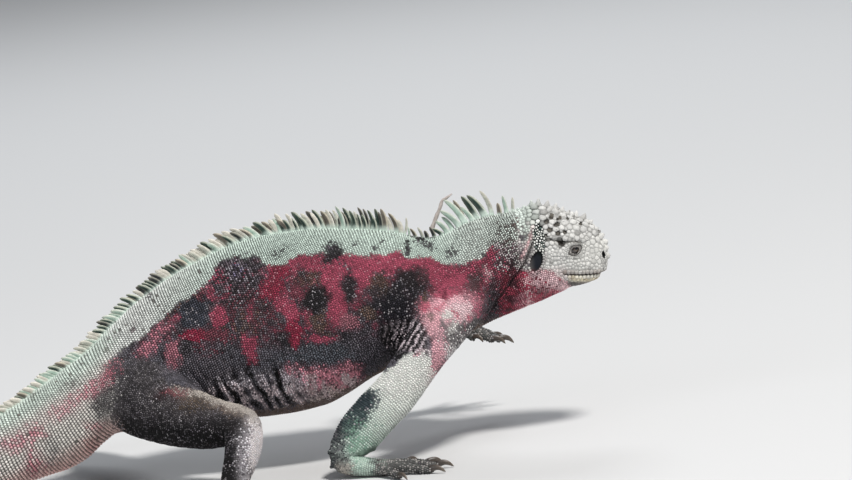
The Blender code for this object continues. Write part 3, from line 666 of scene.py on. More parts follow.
def extract(lo, hi, voxel):
    """Vertices and faces of the skin in a box. Blocks far from the surface are passed over."""
    lo = np.array(lo, float)
    block = 6
    count = np.ceil((np.array(hi) - lo) / voxel / block).astype(int)
    cells = np.stack(np.meshgrid(*[np.arange(n) for n in count], indexing="ij"), -1).reshape(-1, 3)
    middle = lo + (cells * block + (block - 1) / 2) * voxel
    value = chunks(skin_field, middle)
    reach = voxel * block * 0.87
    band = 3 * voxel
    near = np.abs(value) < reach * 1.25 + band + 1.5
    grid = np.where(value > 0, band, -band).reshape(count)
    grid = np.repeat(np.repeat(np.repeat(grid, block, 0), block, 1), block, 2).astype(np.float32)
    inner = np.stack(np.meshgrid(*[np.arange(block)] * 3, indexing="ij"), -1).reshape(-1, 3)
    for part in np.array_split(cells[near], max(1, int(near.sum() / 1200))):
        index = (part[:, None] * block + inner[None]).reshape(-1, 3)
        v = chunks(skin_field, lo + index * voxel)
        grid[index[:, 0], index[:, 1], index[:, 2]] = np.clip(v, -band, band)
    vdb = openvdb.FloatGrid(band)
    vdb.copyFromArray(grid)
    points, tris, quads = vdb.convertToPolygons(isovalue=0.0, adaptivity=0.0)
    points = np.array(points, float) * voxel + lo
    faces = [np.array(t, int).reshape(-1, n) for t, n in ((tris, 3), (quads, 4))]
    return points, faces


def cut_mesh(points, faces, x, keep_above):
    """The part of a mesh on one side of a plane across X, and its open edge in order round the neck."""
    bm = bmesh.new()
    verts = [bm.verts.new(p) for p in points]
    for group in faces:
        for f in group:
            bm.faces.new([verts[i] for i in f])
    bmesh.ops.bisect_plane(
        bm, geom=bm.verts[:] + bm.edges[:] + bm.faces[:], plane_co=(x, 0, 0), plane_no=(1, 0, 0),
        clear_inner=keep_above, clear_outer=not keep_above,
    )
    return bm


def skin_mesh():
    x_cut, strip = 50.0, 1.0
    coarse = extract((-735, -172, -6), (52.5, 172, 160), 2.05)
    fine = extract((48.0, -42, 74), (122, 38, 162), 0.66)
    low = cut_mesh(*coarse, x_cut - strip, False)
    high = cut_mesh(*fine, x_cut, True)
    offset = len(low.verts)
    mesh = bpy.data.meshes.new("skin_high")
    high.to_mesh(mesh)
    low.from_mesh(mesh)
    bpy.data.meshes.remove(mesh)
    high.free()
    low.verts.ensure_lookup_table()
    yc, top, bottom = section(x_cut)[:3]
    centre = np.array([yc, (top + bottom) / 2])

    def rim(x):
        found = {v for e in low.edges if len(e.link_faces) == 1 for v in e.verts if abs(v.co.x - x) < 1e-3}
        return sorted(found, key=lambda v: math.atan2(v.co.z - centre[1], v.co.y - centre[0]))

    a, b = rim(x_cut - strip), rim(x_cut)
    angle = [[math.atan2(v.co.z - centre[1], v.co.y - centre[0]) for v in r] for r in (a, b)]
    i = j = 0
    while i < len(a) or j < len(b):
        va, vb = a[i % len(a)], b[j % len(b)]
        next_a = angle[0][(i + 1) % len(a)] + (2 * math.pi if i + 1 >= len(a) else 0) if i < len(a) else 1e9
        next_b = angle[1][(j + 1) % len(b)] + (2 * math.pi if j + 1 >= len(b) else 0) if j < len(b) else 1e9
        if next_a <= next_b:
            face = (va, a[(i + 1) % len(a)], vb)
            i += 1
        else:
            face = (va, b[(j + 1) % len(b)], vb)
            j += 1
        if len(set(face)) == 3:
            low.faces.new(face)
    bmesh.ops.triangulate(low, faces=[f for f in low.faces if len(f.verts) > 4])
    # stray crumbs go: only the largest connected piece stays
    low.verts.index_update()
    group = {}
    for v in low.verts:
        if v.index in group:
            continue
        stack, number = [v], v.index
        group[v.index] = number
        while stack:
            for e in stack.pop().link_edges:
                for o in e.verts:
                    if o.index not in group:
                        group[o.index] = number
                        stack.append(o)
    numbers = list(group.values())
    main = max(set(numbers), key=numbers.count)
    stray = [v for v in low.verts if group[v.index] != main]
    print("skin: stray points", len(stray), "rims", len(a), len(b), flush=True)
    bmesh.ops.delete(low, geom=stray, context="VERTS")
    bmesh.ops.recalc_face_normals(low, faces=low.faces)
    co = np.array([v.co for v in low.verts])
    co = onto(skin_field, co, 3, 0.7)
    for v, c in zip(low.verts, co):
        v.co = c
    mesh = bpy.data.meshes.new("skin")
    low.to_mesh(mesh)
    low.free()
    mesh.shade_smooth()
    return mesh, co


def place(points):
    return (np.asarray(points) + SHIFT) * MM


# ---------------------------------------------------------------- where each scale grows
def limb_min(p, but=None):
    d = np.full(len(p), 1e3)
    for limb in TUBES:
        if limb != but:
            d = np.minimum(d, limb_field(p, limb))
    return d


class Seeds:
    """Roots of scales: place, lie, spacing, height, kind and the place on the unwrap."""

    def __init__(self):
        self.rows = []

    def add(self, region, pos, lie, size, height, kind, u, v):
        n = len(pos)
        full = lambda a: np.broadcast_to(np.asarray(a, float), (n,)).copy()
        self.rows.append((region, pos, np.broadcast_to(lie, (n, 3)).copy(), full(size), full(height), full(kind), full(u), full(v)))

    def join(self):
        names = sorted({r[0] for r in self.rows})
        region = np.concatenate([np.full(len(r[1]), names.index(r[0])) for r in self.rows])
        return names, region, *[np.concatenate([r[k] for r in self.rows]) for k in range(1, 8)]


def arc_points(x_of, count=260):
    """Right and left half sections through a slanting plane, from the crown down, as points and arc lengths."""
    halves = []
    for side in (-1, 1):
        a = np.linspace(math.pi / 2, -math.pi / 2, count)
        c, s = np.cos(a), np.sin(a)
        x = np.full(count, x_of[0])
        for _ in range(3):
            yc, top, low, half, share, up, down = section(x).T
            mid = low + share * (top - low)
            n = np.where(s > 0, up, down)
            tall = np.where(s > 0, top - mid, mid - low)
            z = mid + tall * np.sign(s) * np.abs(s) ** (2 / n)
            y = yc + side * half * np.abs(c) ** (2 / n)
            x = x_of[0] - x_of[1] * (z - x_of[2]) - 0.0035 * (z - x_of[2]) * np.abs(z - x_of[2])
            x = np.clip(x, -727.5, 117.0)
        p = np.stack([x, y, z], 1)
        arc = np.concatenate([[0], np.cumsum(np.linalg.norm(np.diff(p, axis=0), axis=1))])
        halves.append((side, p, arc))
    return halves


def body_seeds(seeds):
    xs = np.arange(-740, 130, 0.5)
    sec = section(xs)
    middle = (sec[:, 1] + sec[:, 2]) / 2
    kernel = np.hanning(61)
    kernel /= kernel.sum()
    slope = np.convolve(np.gradient(middle, xs), kernel, "same")
    x, row = 66.0, 0
    place_, lie_, size_, u_, v_, kind_ = [], [], [], [], [], []
    while x > -727.0:
        m = float(np.interp(x, xs, slope)) * 0.85
        pitch = float(np.interp(x, (-728, -640, -520, -400, -320, -250, -215, -150, -60, 20, 60), (1.5, 1.9, 2.3, 2.5, 2.35, 2.0, 1.72, 1.56, 1.50, 1.46, 1.42)))
        across = float(np.interp(x, (-728, -640, -520, -400, -320, -250, -215, -150, 60), (1.4, 1.7, 2.0, 2.2, 2.1, 1.9, 1.75, 1.58, 1.50)))
        z0 = float(np.interp(x, xs, middle))
        for side, p, arc in arc_points((x, m, z0)):
            start = across * (0.5 + 0.5 * (row % 2)) if x > -130 else across * 0.5
            at = np.arange(start, arc[-1], across)
            q = np.stack([np.interp(at, arc, p[:, j]) for j in range(3)], 1)
            keep = q[:, 0] < 64.0
            q, at = q[keep], at[keep]
            place_.append(q)
            kind_.append(np.full(len(q), float(ribbon_share(x))))
            way = np.array([-1.0, -np.interp(x - 4, GX, SECT[:, 0]) * 0, -float(np.interp(x, xs, slope))])
            yc0, yc1 = section([x + 3])[0][0], section([x - 3])[0][0]
            way[1] = (yc1 - yc0) / 6
            lie_.append(np.broadcast_to(unit(way), q.shape))
            size_.append(np.full(len(q), math.sqrt(pitch * across)))
            u_.append(np.full(len(q), x))
            v_.append(0.5 + side * at / max(arc[-1], 1e-6) * 0.48)
        x -= pitch * math.cos(math.atan(m)) if x > -320 else pitch * math.cos(math.atan(m * 0.6))
        row += 1
    q, lie, size = np.concatenate(place_), np.concatenate(lie_), np.concatenate(size_)
    u, v, kind = np.concatenate(u_), np.concatenate(v_), np.concatenate(kind_)
    loose = 0.05 + 0.16 * ramp(q[:, 0], -150.0, -50.0)
    loose += 0.06 * ramp(q[:, 2], 92.0, 70.0) * ramp(q[:, 0], -215.0, -170.0)
    loose -= 0.11 * ramp(q[:, 0], 14.0, 34.0)
    share = (q[:, 2] - section(q[:, 0])[:, 2]) / np.maximum(np.ptp(section(q[:, 0])[:, 1:3], axis=1), 1.0)
    loose = np.where(q[:, 0] < 20.0, loose * (1 - 0.55 * ramp(share, 0.72, 0.82)), loose)
    q += RNG.normal(0, 1, q.shape) * (loose * size)[:, None]
    q = onto(skin_field, q, 2, 1.6)
    own = body_field(q) < limb_min(q) + 0.8
    own &= q[:, 0] < 61.0
    q, lie, size, u, v, kind = [a[own] for a in (q, lie, size, u, v, kind)]
    for name, low, high in (("neck", 6.0, 70.0), ("trunk", -218.0, 6.0), ("tail", -740.0, -218.0)):
        m = (u > low) & (u <= high)
        height = size[m] * (0.46 + 0.04 * kind[m])
        seeds.add(name, q[m], lie[m], size[m], height, kind[m], (u[m] - low) / (high - low), v[m])


GX = np.arange(GRID_X0, 130.0, GRID_STEP)


def limb_seeds(seeds):
    for limb, tube in TUBES.items():
        arm = "fore" in limb
        total = tube.s[-1]
        s, row = -16.0, 0
        rows = []
        while s < total + 2:
            pitch = float(np.interp(s / total, (0, 0.55, 0.78, 1.0), (1.55, 1.55, 1.55, 1.5))) * (1.0 if arm else 0.90)
            c, way, across, up, deep, broad = tube.frame_at(np.array([np.clip(s, 0, total)]))
            if s < 0:
                cap = math.sqrt(max(1 - (s / 18.0) ** 2, 0.02))
                c, deep, broad = c + way * s, deep * cap, broad * cap
            a = np.linspace(0, 2 * math.pi, 97)
            ring = np.stack([broad[0] * np.cos(a), deep[0] * np.sin(a)], 1)
            arc = np.concatenate([[0], np.cumsum(np.linalg.norm(np.diff(ring, axis=0), axis=1))])
            n = max(6, round(arc[-1] / (pitch * 1.02)))
            at = (np.arange(n) + 0.5 * (row % 2)) / n * arc[-1]
            x, y = np.interp(at, arc, ring[:, 0]), np.interp(at, arc, ring[:, 1])
            pos = c[0] + across[0] * x[:, None] + up[0] * y[:, None] + way[0] * max(0.0, s - total)
            # smaller scales where the limb bends sharply
            turn = 1 - float(tube.frame_at(np.array([max(s - 5, 0.0)]))[1][0] @ tube.frame_at(np.array([min(max(s, 0.0) + 5, total)]))[1][0])
            rows.append((pos, np.broadcast_to(way[0], pos.shape), np.full(n, pitch) * (1 - 0.34 * ramp(turn, 0.06, 0.25)), np.full(n, max(s, 0.0) / total), at / arc[-1]))
            s += pitch
            row += 1
        q, lie, size, u, v = [np.concatenate([r[k] for r in rows]) for k in range(5)]
        shoulder = ramp(u, 0.56, 0.40) if arm else 1.0
        q += RNG.normal(0, 1, q.shape) * ((0.07 + 0.17 * shoulder if arm else 0.16) * size)[:, None]
        q = onto(skin_field, q, 2, 1.6)
        own = tube.near(q)[0]
        toes = np.min([t.near(q)[0] for t in TOE_TUBES[limb]], axis=0)
        other = np.minimum(np.minimum(body_field(q), limb_min(q, limb)), toes + 0.6)
        keep = own < other + 0.8
        q, lie, size, u, v = [a[keep] for a in (q, lie, size, u, v)]
        seeds.add(limb, q, lie, size, size * 0.34, 0.30 + 0.42 * ramp(u, 0.40, 0.56) if arm else 0.30, u * 0.78, v)
        for number, (toe, plan) in enumerate(zip(TOE_TUBES[limb], CLAW_PLANS[limb])):
            s, row, rows = 1.0, 0, []
            while s < toe.s[-1] + 0.4:
                c, way, across, up, deep, broad = toe.frame_at(np.array([min(s, toe.s[-1])]))
                n = max(7, round(2 * math.pi * deep[0] / 1.75))
                a = (np.arange(n) + 0.5 * (row % 2)) / n * 2 * math.pi
                pos = c[0] + across[0] * (broad[0] * np.cos(a))[:, None] + up[0] * (deep[0] * np.sin(a))[:, None]
                rows.append((pos, np.broadcast_to(way[0], pos.shape), np.full(n, 1.7), np.full(n, s / toe.s[-1]), a / (2 * math.pi)))
                s += 1.75
                row += 1
            q, lie, size, u, v = [np.concatenate([r[k] for r in rows]) for k in range(5)]
            q = onto(skin_field, q, 2, 1.2)
            own = toe.near(q)[0]
            rest = [t.near(q)[0] for k, t in enumerate(TOE_TUBES[limb]) if k != number] + [tube.near(q)[0] - 0.2]
            keep = own < np.min(rest, axis=0) + 0.5
            q, lie, size, u, v = [a[keep] for a in (q, lie, size, u, v)]
            seeds.add(limb, q, lie, size, size * 0.30, 0.2, 0.80 + 0.19 * u, (number + v) / 5.05)


# Crown and snout bosses along the middle line: x, spacing, height
CROWN = (
    (59.4, 2.6, 0.9), (62.6, 2.8, 1.2), (66.6, 3.2, 1.7), (71.6, 4.2, 4.6), (76.2, 4.2, 5.6), (81.4, 5.0, 5.0), (86.6, 4.6, 4.6), (91.0, 4.4, 4.0),
    (95.2, 4.0, 3.3), (99.4, 4.4, 4.4), (104.4, 4.6, 4.7), (108.6, 3.8, 3.3), (111.8, 3.6, 2.6),
)


def head_size(x, a, z, top):
    """Spacing of the head's scales: large on the crown, small on cheeks, throat and round the eye."""
    size = 2.0 + 0 * x
    size = np.where(z < 112, 1.85, size)
    temple = ramp(z, 125.0, 131.0)
    size = size + (3.0 - size) * temple
    crown = ramp(top - z, 10.0, 5.0) * ramp(x, 66.0, 72.0)
    size = size + (4.2 - size) * crown
    nape = ramp(x, 72.0, 65.0)
    size = size + (1.85 - size) * nape
    snout = ramp(x, 98.0, 104.0) * ramp(z, 108.0, 111.0) * (1 - crown)
    size = size + (2.6 - size) * snout
    size = size + (3.2 - size) * ramp(x, 104.0, 108.0) * ramp(z, 121.0, 125.0) * (1 - crown)
    lid = lid_share(x, z)
    near_eye = ramp(lid, 3.6, 2.5) * ramp(a, 10.0, 13.0)
    size = size + (1.40 - size) * near_eye
    low = ramp(z, 103.0, 98.0)
    size = size + (1.7 - size) * low
    throat = ramp(z, 112.0, 108.0) * ramp(x, 86.0, 80.0)
    size = size + (1.35 - size) * throat
    neck = np.maximum(ramp(x, 66.0, 60.0), ramp(x, 72.0, 69.5) * ramp(z, 141.0, 137.0))
    size = size + (1.5 - size) * neck
    speck = np.exp(-(((x - 73.6) / 3.6) ** 2) - ((z - 133) / 10.0) ** 2) * ramp(a, 8.0, 14.0)
    size = size + (1.35 - size) * ramp(speck, 0.25, 0.5)
    return size, crown, near_eye, snout


def head_seeds(seeds, mesh, co):
    tri = []
    for p in mesh.polygons:
        v = p.vertices
        if co[v[0], 0] > 55.5:
            for k in range(1, len(v) - 1):
                tri.append((v[0], v[k], v[k + 1]))
    tri = np.array(tri)
    a, b, c = co[tri[:, 0]], co[tri[:, 1]], co[tri[:, 2]]
    area = np.linalg.norm(np.cross(b - a, c - a), axis=1)
    count = 60000
    pick = RNG.choice(len(tri), count, p=area / area.sum())
    r1, r2 = np.sqrt(RNG.random(count)), RNG.random(count)
    q = a[pick] * (1 - r1)[:, None] + b[pick] * (r1 * (1 - r2))[:, None] + c[pick] * (r1 * r2)[:, None]
    fixed, fixed_size, fixed_height = [], [], []

    def fix(pos, size, height):
        for p in np.atleast_2d(pos):
            fixed.append(p)
            fixed_size.append(size)
            fixed_height.append(height)

    for x, size, height in CROWN:
        yc, top = section([x])[0][:2]
        fix(onto(skin_field, np.array([[x, yc + 0.25 * math.sin(x * 7), top]]), 2), size, height)
    # rows of plates along the lips
    for points, off, step, size in ((MOUTH, 1.75, 2.5, 2.5), (MOUTH, -1.7, 2.5, 2.4)):
        pts = np.array(points)
        length = np.concatenate([[0], np.cumsum(np.linalg.norm(np.diff(pts, axis=0), axis=1))])
        at = np.arange(1.5, length[-1] - 6.0, step)
        lx, lz = np.interp(at, length, pts[:, 0]), np.interp(at, length, pts[:, 1])
        for side in (-1, 1):
            x, z = lx, lz + off
            yc, top, low, half, share, up, down = section(x).T
            mid = low + share * (top - low)
            y = yc + side * half * np.maximum(1 - np.abs((mid - z) / (mid - low)) ** down, 0.02) ** (1 / down)
            fix(onto(skin_field, np.stack([x, y, z], 1), 3), size, 0.34)
    for a_ in np.linspace(-1.0, 1.0, 7):
        for off in (1.7, -1.7):
            p = np.array([[117.0 - 2.6 * a_ * a_, -5.0 + 9.0 * a_, 104.5 + off]])
            fix(onto(skin_field, p, 4), 2.4, 0.34)
    for px, pz, a_, b_ in PITS:
        for side in (-1, 1):
            yc, top, low, half, share, up, down = section([px])[0]
            mid = low + share * (top - low)
            y = yc + side * half * max(1 - abs((pz - mid) / max(top - mid, 1e-3)) ** up, 0.05) ** (1 / up)
            fix(onto(skin_field, np.array([[px, y, pz]]), 4, 1.5), a_ + b_, 0.12)
    # rows of little beads on the throat and under the jaw
    for n, x0 in enumerate(np.arange(61.0, 91.0, 1.34)):
        for side, p, arc in arc_points((x0, -0.30, 108.0)):
            at = np.arange(0.67 * (n % 2), arc[-1], 1.36)
            q0 = np.stack([np.interp(at, arc, p[:, j]) for j in range(3)], 1)
            line_z = np.interp(q0[:, 0], (56, 72, 78, 82, 86, 89, 92), (114.5, 114.0, 112.0, 109.0, 104.5, 100.5, 96.0))
            sy = np.abs(q0[:, 1] - section(q0[:, 0])[:, 0])
            q0 = q0[(q0[:, 2] < line_z) & (q0[:, 0] > 60.6) & (q0[:, 0] < 92) & ~((sy > 8) & (ear_share(q0[:, 0], q0[:, 2]) < 1.38))]
            if len(q0):
                fix(onto(skin_field, q0, 3, 1.5), 1.36, 0.34)
    # beads round the eye's opening, and round the ear
    for side in (-1, 1):
        for share, n, size in ((1.22, 30, 0.75), (1.50, 36, 0.80), (2.12, 40, 1.05), (2.50, 42, 1.2)):
            t = np.linspace(0, 2 * math.pi, 400)
            k = (np.abs(np.cos(t)) ** 1.6 + np.abs(np.sin(t)) ** 1.45) ** (-1 / 1.52) * share
            u, v = k * np.cos(t) * LID_SIZE[0], k * np.sin(t) * LID_SIZE[1]
            arc = np.concatenate([[0], np.cumsum(np.hypot(np.diff(u), np.diff(v)))])
            n = int(arc[-1] / size)
            at = (np.arange(n) + 0.5 * (share > 1.3) * (share < 2.2)) / n * arc[-1]
            u, v = np.interp(at, arc, u), np.interp(at, arc, v)
            c_, s_ = math.cos(LID_TILT), math.sin(LID_TILT)
            x, z = LID_AT[0] + u * c_ - v * s_, LID_AT[1] + u * s_ + v * c_
            yc = section(x)[:, 0]
            p = onto(skin_field, np.stack([x, yc + side * 19.5, z], 1), 4, 1.5)
            fix(p, size, 0.24 * size)
        # small scales ring the nostril
        t = np.linspace(0, 2 * math.pi, 13)[:-1]
        p = np.stack([NOSTRIL[0] + 2.5 * np.cos(t) * 0.80, section([NOSTRIL[0]])[0][0] + side * (NOSTRIL[1] - 2.5 * np.cos(t) * 0.60), NOSTRIL[2] + 3.3 * np.sin(t)], 1)
        p = onto(skin_field, p[np.cos(t) < 0.9], 4, 1.5)
        fix(p[np.abs(skin_field(p)) < 0.12], 1.1, 0.12)
        t = np.linspace(0, 2 * math.pi, 25)[:-1]
        c_, s_ = math.cos(EAR_TILT), math.sin(EAR_TILT)
        u, v = 1.2 * EAR_SIZE[0] * np.cos(t), 1.14 * EAR_SIZE[1] * np.sin(t)
        x, z = EAR[0] + u * c_ + v * s_, EAR[1] - u * s_ + v * c_
        yc = section(x)[:, 0]
        fix(onto(skin_field, np.stack([x, yc + side * 24.0, z], 1), 4, 1.5), 1.6, 0.36)
    fixed, fixed_size, fixed_height = np.array(fixed), np.array(fixed_size), np.array(fixed_height)
    pos = np.concatenate([fixed, q])
    sec = section(pos[:, 0])
    side_y = np.abs(pos[:, 1] - sec[:, 0])
    x, z = pos[:, 0], pos[:, 2]
    size, crown, near_eye, snout = head_size(x, side_y, z, sec[:, 1])
    size *= 1 + 0.26 * RNG.uniform(-1, 1, len(size))
    size[: len(fixed)] = fixed_size
    bad = closed_ground(pos)
    bad |= (x < 60.5) & (np.arange(len(x)) >= len(fixed))
    bad[: len(fixed)] = False
    taken, where = [], {}
    cell = 6.8
    keys = np.floor(pos / cell).astype(int)
    order = np.concatenate([np.arange(len(fixed)), len(fixed) + np.argsort(-size[len(fixed):] + 0.5 * RNG.random(len(q)))])
    for i in order:
        if bad[i]:
            continue
        p, s, (kx, ky, kz) = pos[i], size[i], keys[i]
        ok = True
        for dx in (-1, 0, 1):
            for dy in (-1, 0, 1):
                for dz in (-1, 0, 1):
                    for px, py, pz, ps in where.get((kx + dx, ky + dy, kz + dz), ()):
                        g = 0.44 * (s + ps)
                        if (p[0] - px) ** 2 + (p[1] - py) ** 2 + (p[2] - pz) ** 2 < g * g:
                            ok = False
                            break
                    if not ok:
                        break
                if not ok:
                    break
            if not ok:
                break
        if ok:
            taken.append(i)
            where.setdefault((kx, ky, kz), []).append((p[0], p[1], p[2], s))
    taken = np.array(taken)
    free = taken >= len(fixed)
    height = size * (0.062 + 0.36 * crown * (1 - 0.50 * ramp(side_y, 5.0, 11.0)) * RNG.uniform(0.4, 1.6, len(size)))
    height = np.where(near_eye > 0.5, size * 0.16, height)
    temple_zone = ramp(z, 127.0, 130.0)
    height = height + 0.38 * temple_zone * (1 - crown) * ramp(x, 64.0, 70.0) + 0.10 * ramp(x, 72.0, 66.0)
    height = height * (1 - 0.15 * snout)
    height = height * (1 + 0.18 * RNG.uniform(-1, 1, len(height)))
    height[: len(fixed)] = fixed_height
    p, s = pos[taken], size[taken]
    for _ in range(5):
        tree = KDTree(len(p))
        for i, c_ in enumerate(p):
            tree.insert(c_, i)
        tree.balance()
        near = np.array([[n[1] for n in tree.find_n(c_, 8)] for c_ in p])[:, 1:]
        d = p[:, None] - p[near]
        dist = np.linalg.norm(d, axis=2)
        want = 0.52 * (s[:, None] + s[near])
        push = (d / np.maximum(dist, 1e-6)[..., None] * np.maximum(want - dist, 0)[..., None]).sum(1) * 0.25
        p = p + push * free[:, None]
        p[free] = onto(skin_field, p[free], 1, 0.8)
    sec = section(p[:, 0])
    v = 0.5 + np.arctan2(p[:, 1] - sec[:, 0], p[:, 2] - (sec[:, 1] + sec[:, 2]) / 2) / (2 * math.pi) * 0.96
    u = (p[:, 0] - 54.0) / 66.0
    kind = -np.ones(len(p))
    kind = np.where(s > 2.8, -2.0, kind)
    kind = np.where(taken < len(CROWN), -3.0, kind)
    beads = (np.hypot((p[:, 0] - 73.6) / 4.4, (p[:, 2] - 134) / 13.0) < 1.0) & (np.abs(p[:, 1] - sec[:, 0]) > 11) & (s < 2.4) & (taken >= len(CROWN))
    kind = np.where(beads, 0.0, kind)
    size_height = np.where(beads, s * 0.42, height[taken])
    lie = np.broadcast_to(np.array([-0.9, 0.0, -0.2]), p.shape)
    seeds.add("head", p, lie, s, size_height, kind, u, v)
    print("head scales", len(p), flush=True)


def closed_ground(p):
    """Places where no scale grows: the eye's opening, the ear, the nostril and the mouth."""
    x, z = p[:, 0], p[:, 2]
    yc = section(x)[:, 0]
    side_y = np.abs(p[:, 1] - yc)
    flank = (side_y > 8) & (x > 50)
    lid = lid_share(x, z)
    bad = flank & (lid < 1.12)
    bad |= flank & (np.abs(lid - 1.80) < 0.13)
    bad |= flank & (ear_share(x, z) < 1.10)
    bad |= (x > 80) & (line_distance(x, z, MOUTH)[0] < 0.75)
    bad |= flank & (np.hypot(x - 87.8, (z - 128.0) * 0.75) < 1.7)
    return bad | ((x > 105) & (nostril_share(p, side_y) < 1.15) & (np.hypot(x - NOSTRIL[0], side_y - NOSTRIL[1]) < 4.5))


def bare_spots(mesh, co, pos, size):
    """Fills what the rows left bare, such as the seams between limbs and body."""
    tri = np.array([(v[0], v[k], v[k + 1]) for v in (p.vertices for p in mesh.polygons) for k in range(1, len(v) - 1)])
    a, b, c = co[tri[:, 0]], co[tri[:, 1]], co[tri[:, 2]]
    area = np.linalg.norm(np.cross(b - a, c - a), axis=1)
    count = 170000
    pick = RNG.choice(len(tri), count, p=area / area.sum())
    r1, r2 = np.sqrt(RNG.random(count)), RNG.random(count)
    q = a[pick] * (1 - r1)[:, None] + b[pick] * (r1 * (1 - r2))[:, None] + c[pick] * (r1 * r2)[:, None]
    q = q[~closed_ground(q)]
    tree = KDTree(len(pos))
    for i, c_ in enumerate(pos):
        tree.insert(c_, i)
    tree.balance()
    found = [tree.find(c_)[1:] for c_ in q]
    index, dist = np.array([f[0] for f in found]), np.array([f[1] for f in found])
    bare = dist > 0.80 * size[index]
    q, index, dist = q[bare], index[bare], dist[bare]
    order = np.argsort(-dist)
    taken, where, cell = [], {}, 3.0
    for i in order:
        s = min(size[index[i]], 2.4)
        key = tuple(np.floor(q[i] / cell).astype(int))
        ok = True
        for dx in (-1, 0, 1):
            for dy in (-1, 0, 1):
                for dz in (-1, 0, 1):
                    for other in where.get((key[0] + dx, key[1] + dy, key[2] + dz), ()):
                        if ((other - q[i]) ** 2).sum() < (0.88 * s) ** 2:
                            ok = False
        if ok:
            taken.append(i)
            where.setdefault(key, []).append(q[i])
    if not taken:
        return np.zeros((0, 3)), np.zeros(0, int)
    return onto(skin_field, q[taken], 1, 0.8), index[taken]


# ---------------------------------------------------------------- building scales
def neighbours(pos, count=15):
    tree = KDTree(len(pos))
    for i, c in enumerate(pos):
        tree.insert(c, i)
    tree.balance()
    return np.array([[n[1] for n in tree.find_n(c, count)] for c in pos])


def outlines(pos, normal, lie, cross, size, sides, near, chosen):
    """Radius of each chosen scale towards its sides, halfway to its neighbours."""
    radii = np.zeros((len(pos), sides))
    angles = 2 * math.pi * (np.arange(sides) + 0.5) / sides
    for part in np.array_split(chosen, max(1, len(chosen) // 20000)):
        j = near[part][:, 1:]
        o = pos[j] - pos[part][:, None]
        x = np.einsum("nkj,nj->nk", o, lie[part])
        y = np.einsum("nkj,nj->nk", o, cross[part])
        length = np.maximum(np.hypot(x, y), 1e-3)
        facing = np.einsum("nkj,nj->nk", normal[j], normal[part])
        s = size[part][:, None] / 2
        reach = (length**2 + s**2 - (size[j] / 2) ** 2) / (2 * length)
        reach = np.where(facing < 0.2, 9.0, np.maximum(reach, 0.18 * size[part][:, None]))
        at = np.arctan2(y, x)
        for k, a in enumerate(angles):
            c = np.cos(a - at)
            r = np.where(c > 0.2, reach / np.maximum(c, 0.2), 9.0).min(1)
            radii[part, k] = r
    return np.minimum(radii, 0.66 * size[:, None]), angles


def scale_arrays(pos, normal, lie, cross, size, height, kind, radii, angles, uv, colour, plan, soft):
    """Vertices, faces, UVs and colours of many like scales. plan: (height share, width share, painted shade, over 1 a
    painted highlight) of each ring.
    """
    n, sides = radii.shape
    rings = len(plan)
    per = sides * rings + 1
    verts = np.zeros((n, per, 3))
    flat = np.zeros((n, per, 2))
    shade = np.zeros((n, per))
    shift = np.clip(kind, 0, 1) * 0.30 * size
    ribbon = np.clip(kind, 0, 1)
    gap = np.where(kind < -1.5, 0.05, np.where(kind < 0, 0.03, 0.11 - 0.08 * ribbon))
    r = np.maximum(radii - gap[:, None], 0.22 * size[:, None])
    r = r * (1 + 0.10 * RNG.uniform(-1, 1, r.shape) * np.where(kind < 0.5, 1.0, 0.3)[:, None])
    # rows stand a little apart
    apart = np.where(kind >= 0, 0.94 - 0.17 * ribbon, 1.0)
    end_on = np.abs(np.cos(angles)) ** 1.5
    for m, (tall, wide, light) in enumerate(plan):
        h = height * tall if tall > 0 else np.full(n, tall)
        lean = shift * max(tall, 0.0) ** 1.2
        x = r * wide * np.cos(angles) * apart[:, None] + lean[:, None]
        y = r * wide * np.sin(angles)
        k = slice(m * sides, (m + 1) * sides)
        verts[:, k] = pos[:, None] + lie[:, None] * x[..., None] + cross[:, None] * y[..., None] + (normal * h[:, None])[:, None]
        flat[:, k, 0] = x / size[:, None]
        flat[:, k, 1] = y / size[:, None]
        # painted shade down each scale's sides, darkest at its foot; on ribbons less across the row
        shade[:, k] = 1 - (1 - light) * soft[:, None] * (1 - 0.8 * ribbon[:, None] * (1 - end_on))
    wander = np.where(kind < -1.5, 0.10, 0.03)[:, None] * size[:, None] * RNG.normal(0, 1, (n, 2))
    verts[:, -1] = pos + lie * (shift * 1.05 + wander[:, 0])[:, None] + cross * wander[:, 1:] + normal * height[:, None]
    flat[:, -1, 0] = shift / size
    # painted highlight on each scale's apex
    shade[:, -1] = 1 + 0.16 * soft
    faces = []
    for m in range(rings - 1):
        for k in range(sides):
            j = (k + 1) % sides
            a, b, c, d = m * sides + k, m * sides + j, (m + 1) * sides + j, (m + 1) * sides + k
            faces += [(a, b, c), (a, c, d)]
    top = (rings - 1) * sides
    for k in range(sides):
        faces.append((top + k, top + (k + 1) % sides, per - 1))
    for k in range(1, sides - 1):
        faces.append((0, k + 1, k))
    faces = np.array(faces)
    base = (np.arange(n) * per)[:, None, None]
    tris = (faces[None] + base).reshape(-1, 3)
    uvs = uv[:, None] + np.clip(flat, -0.6, 0.6) * 0.0027
    col = np.clip(colour[:, None] * shade[..., None], 0, 1)
    return verts.reshape(-1, 3), tris, uvs.reshape(-1, 2), col.reshape(-1, 3)


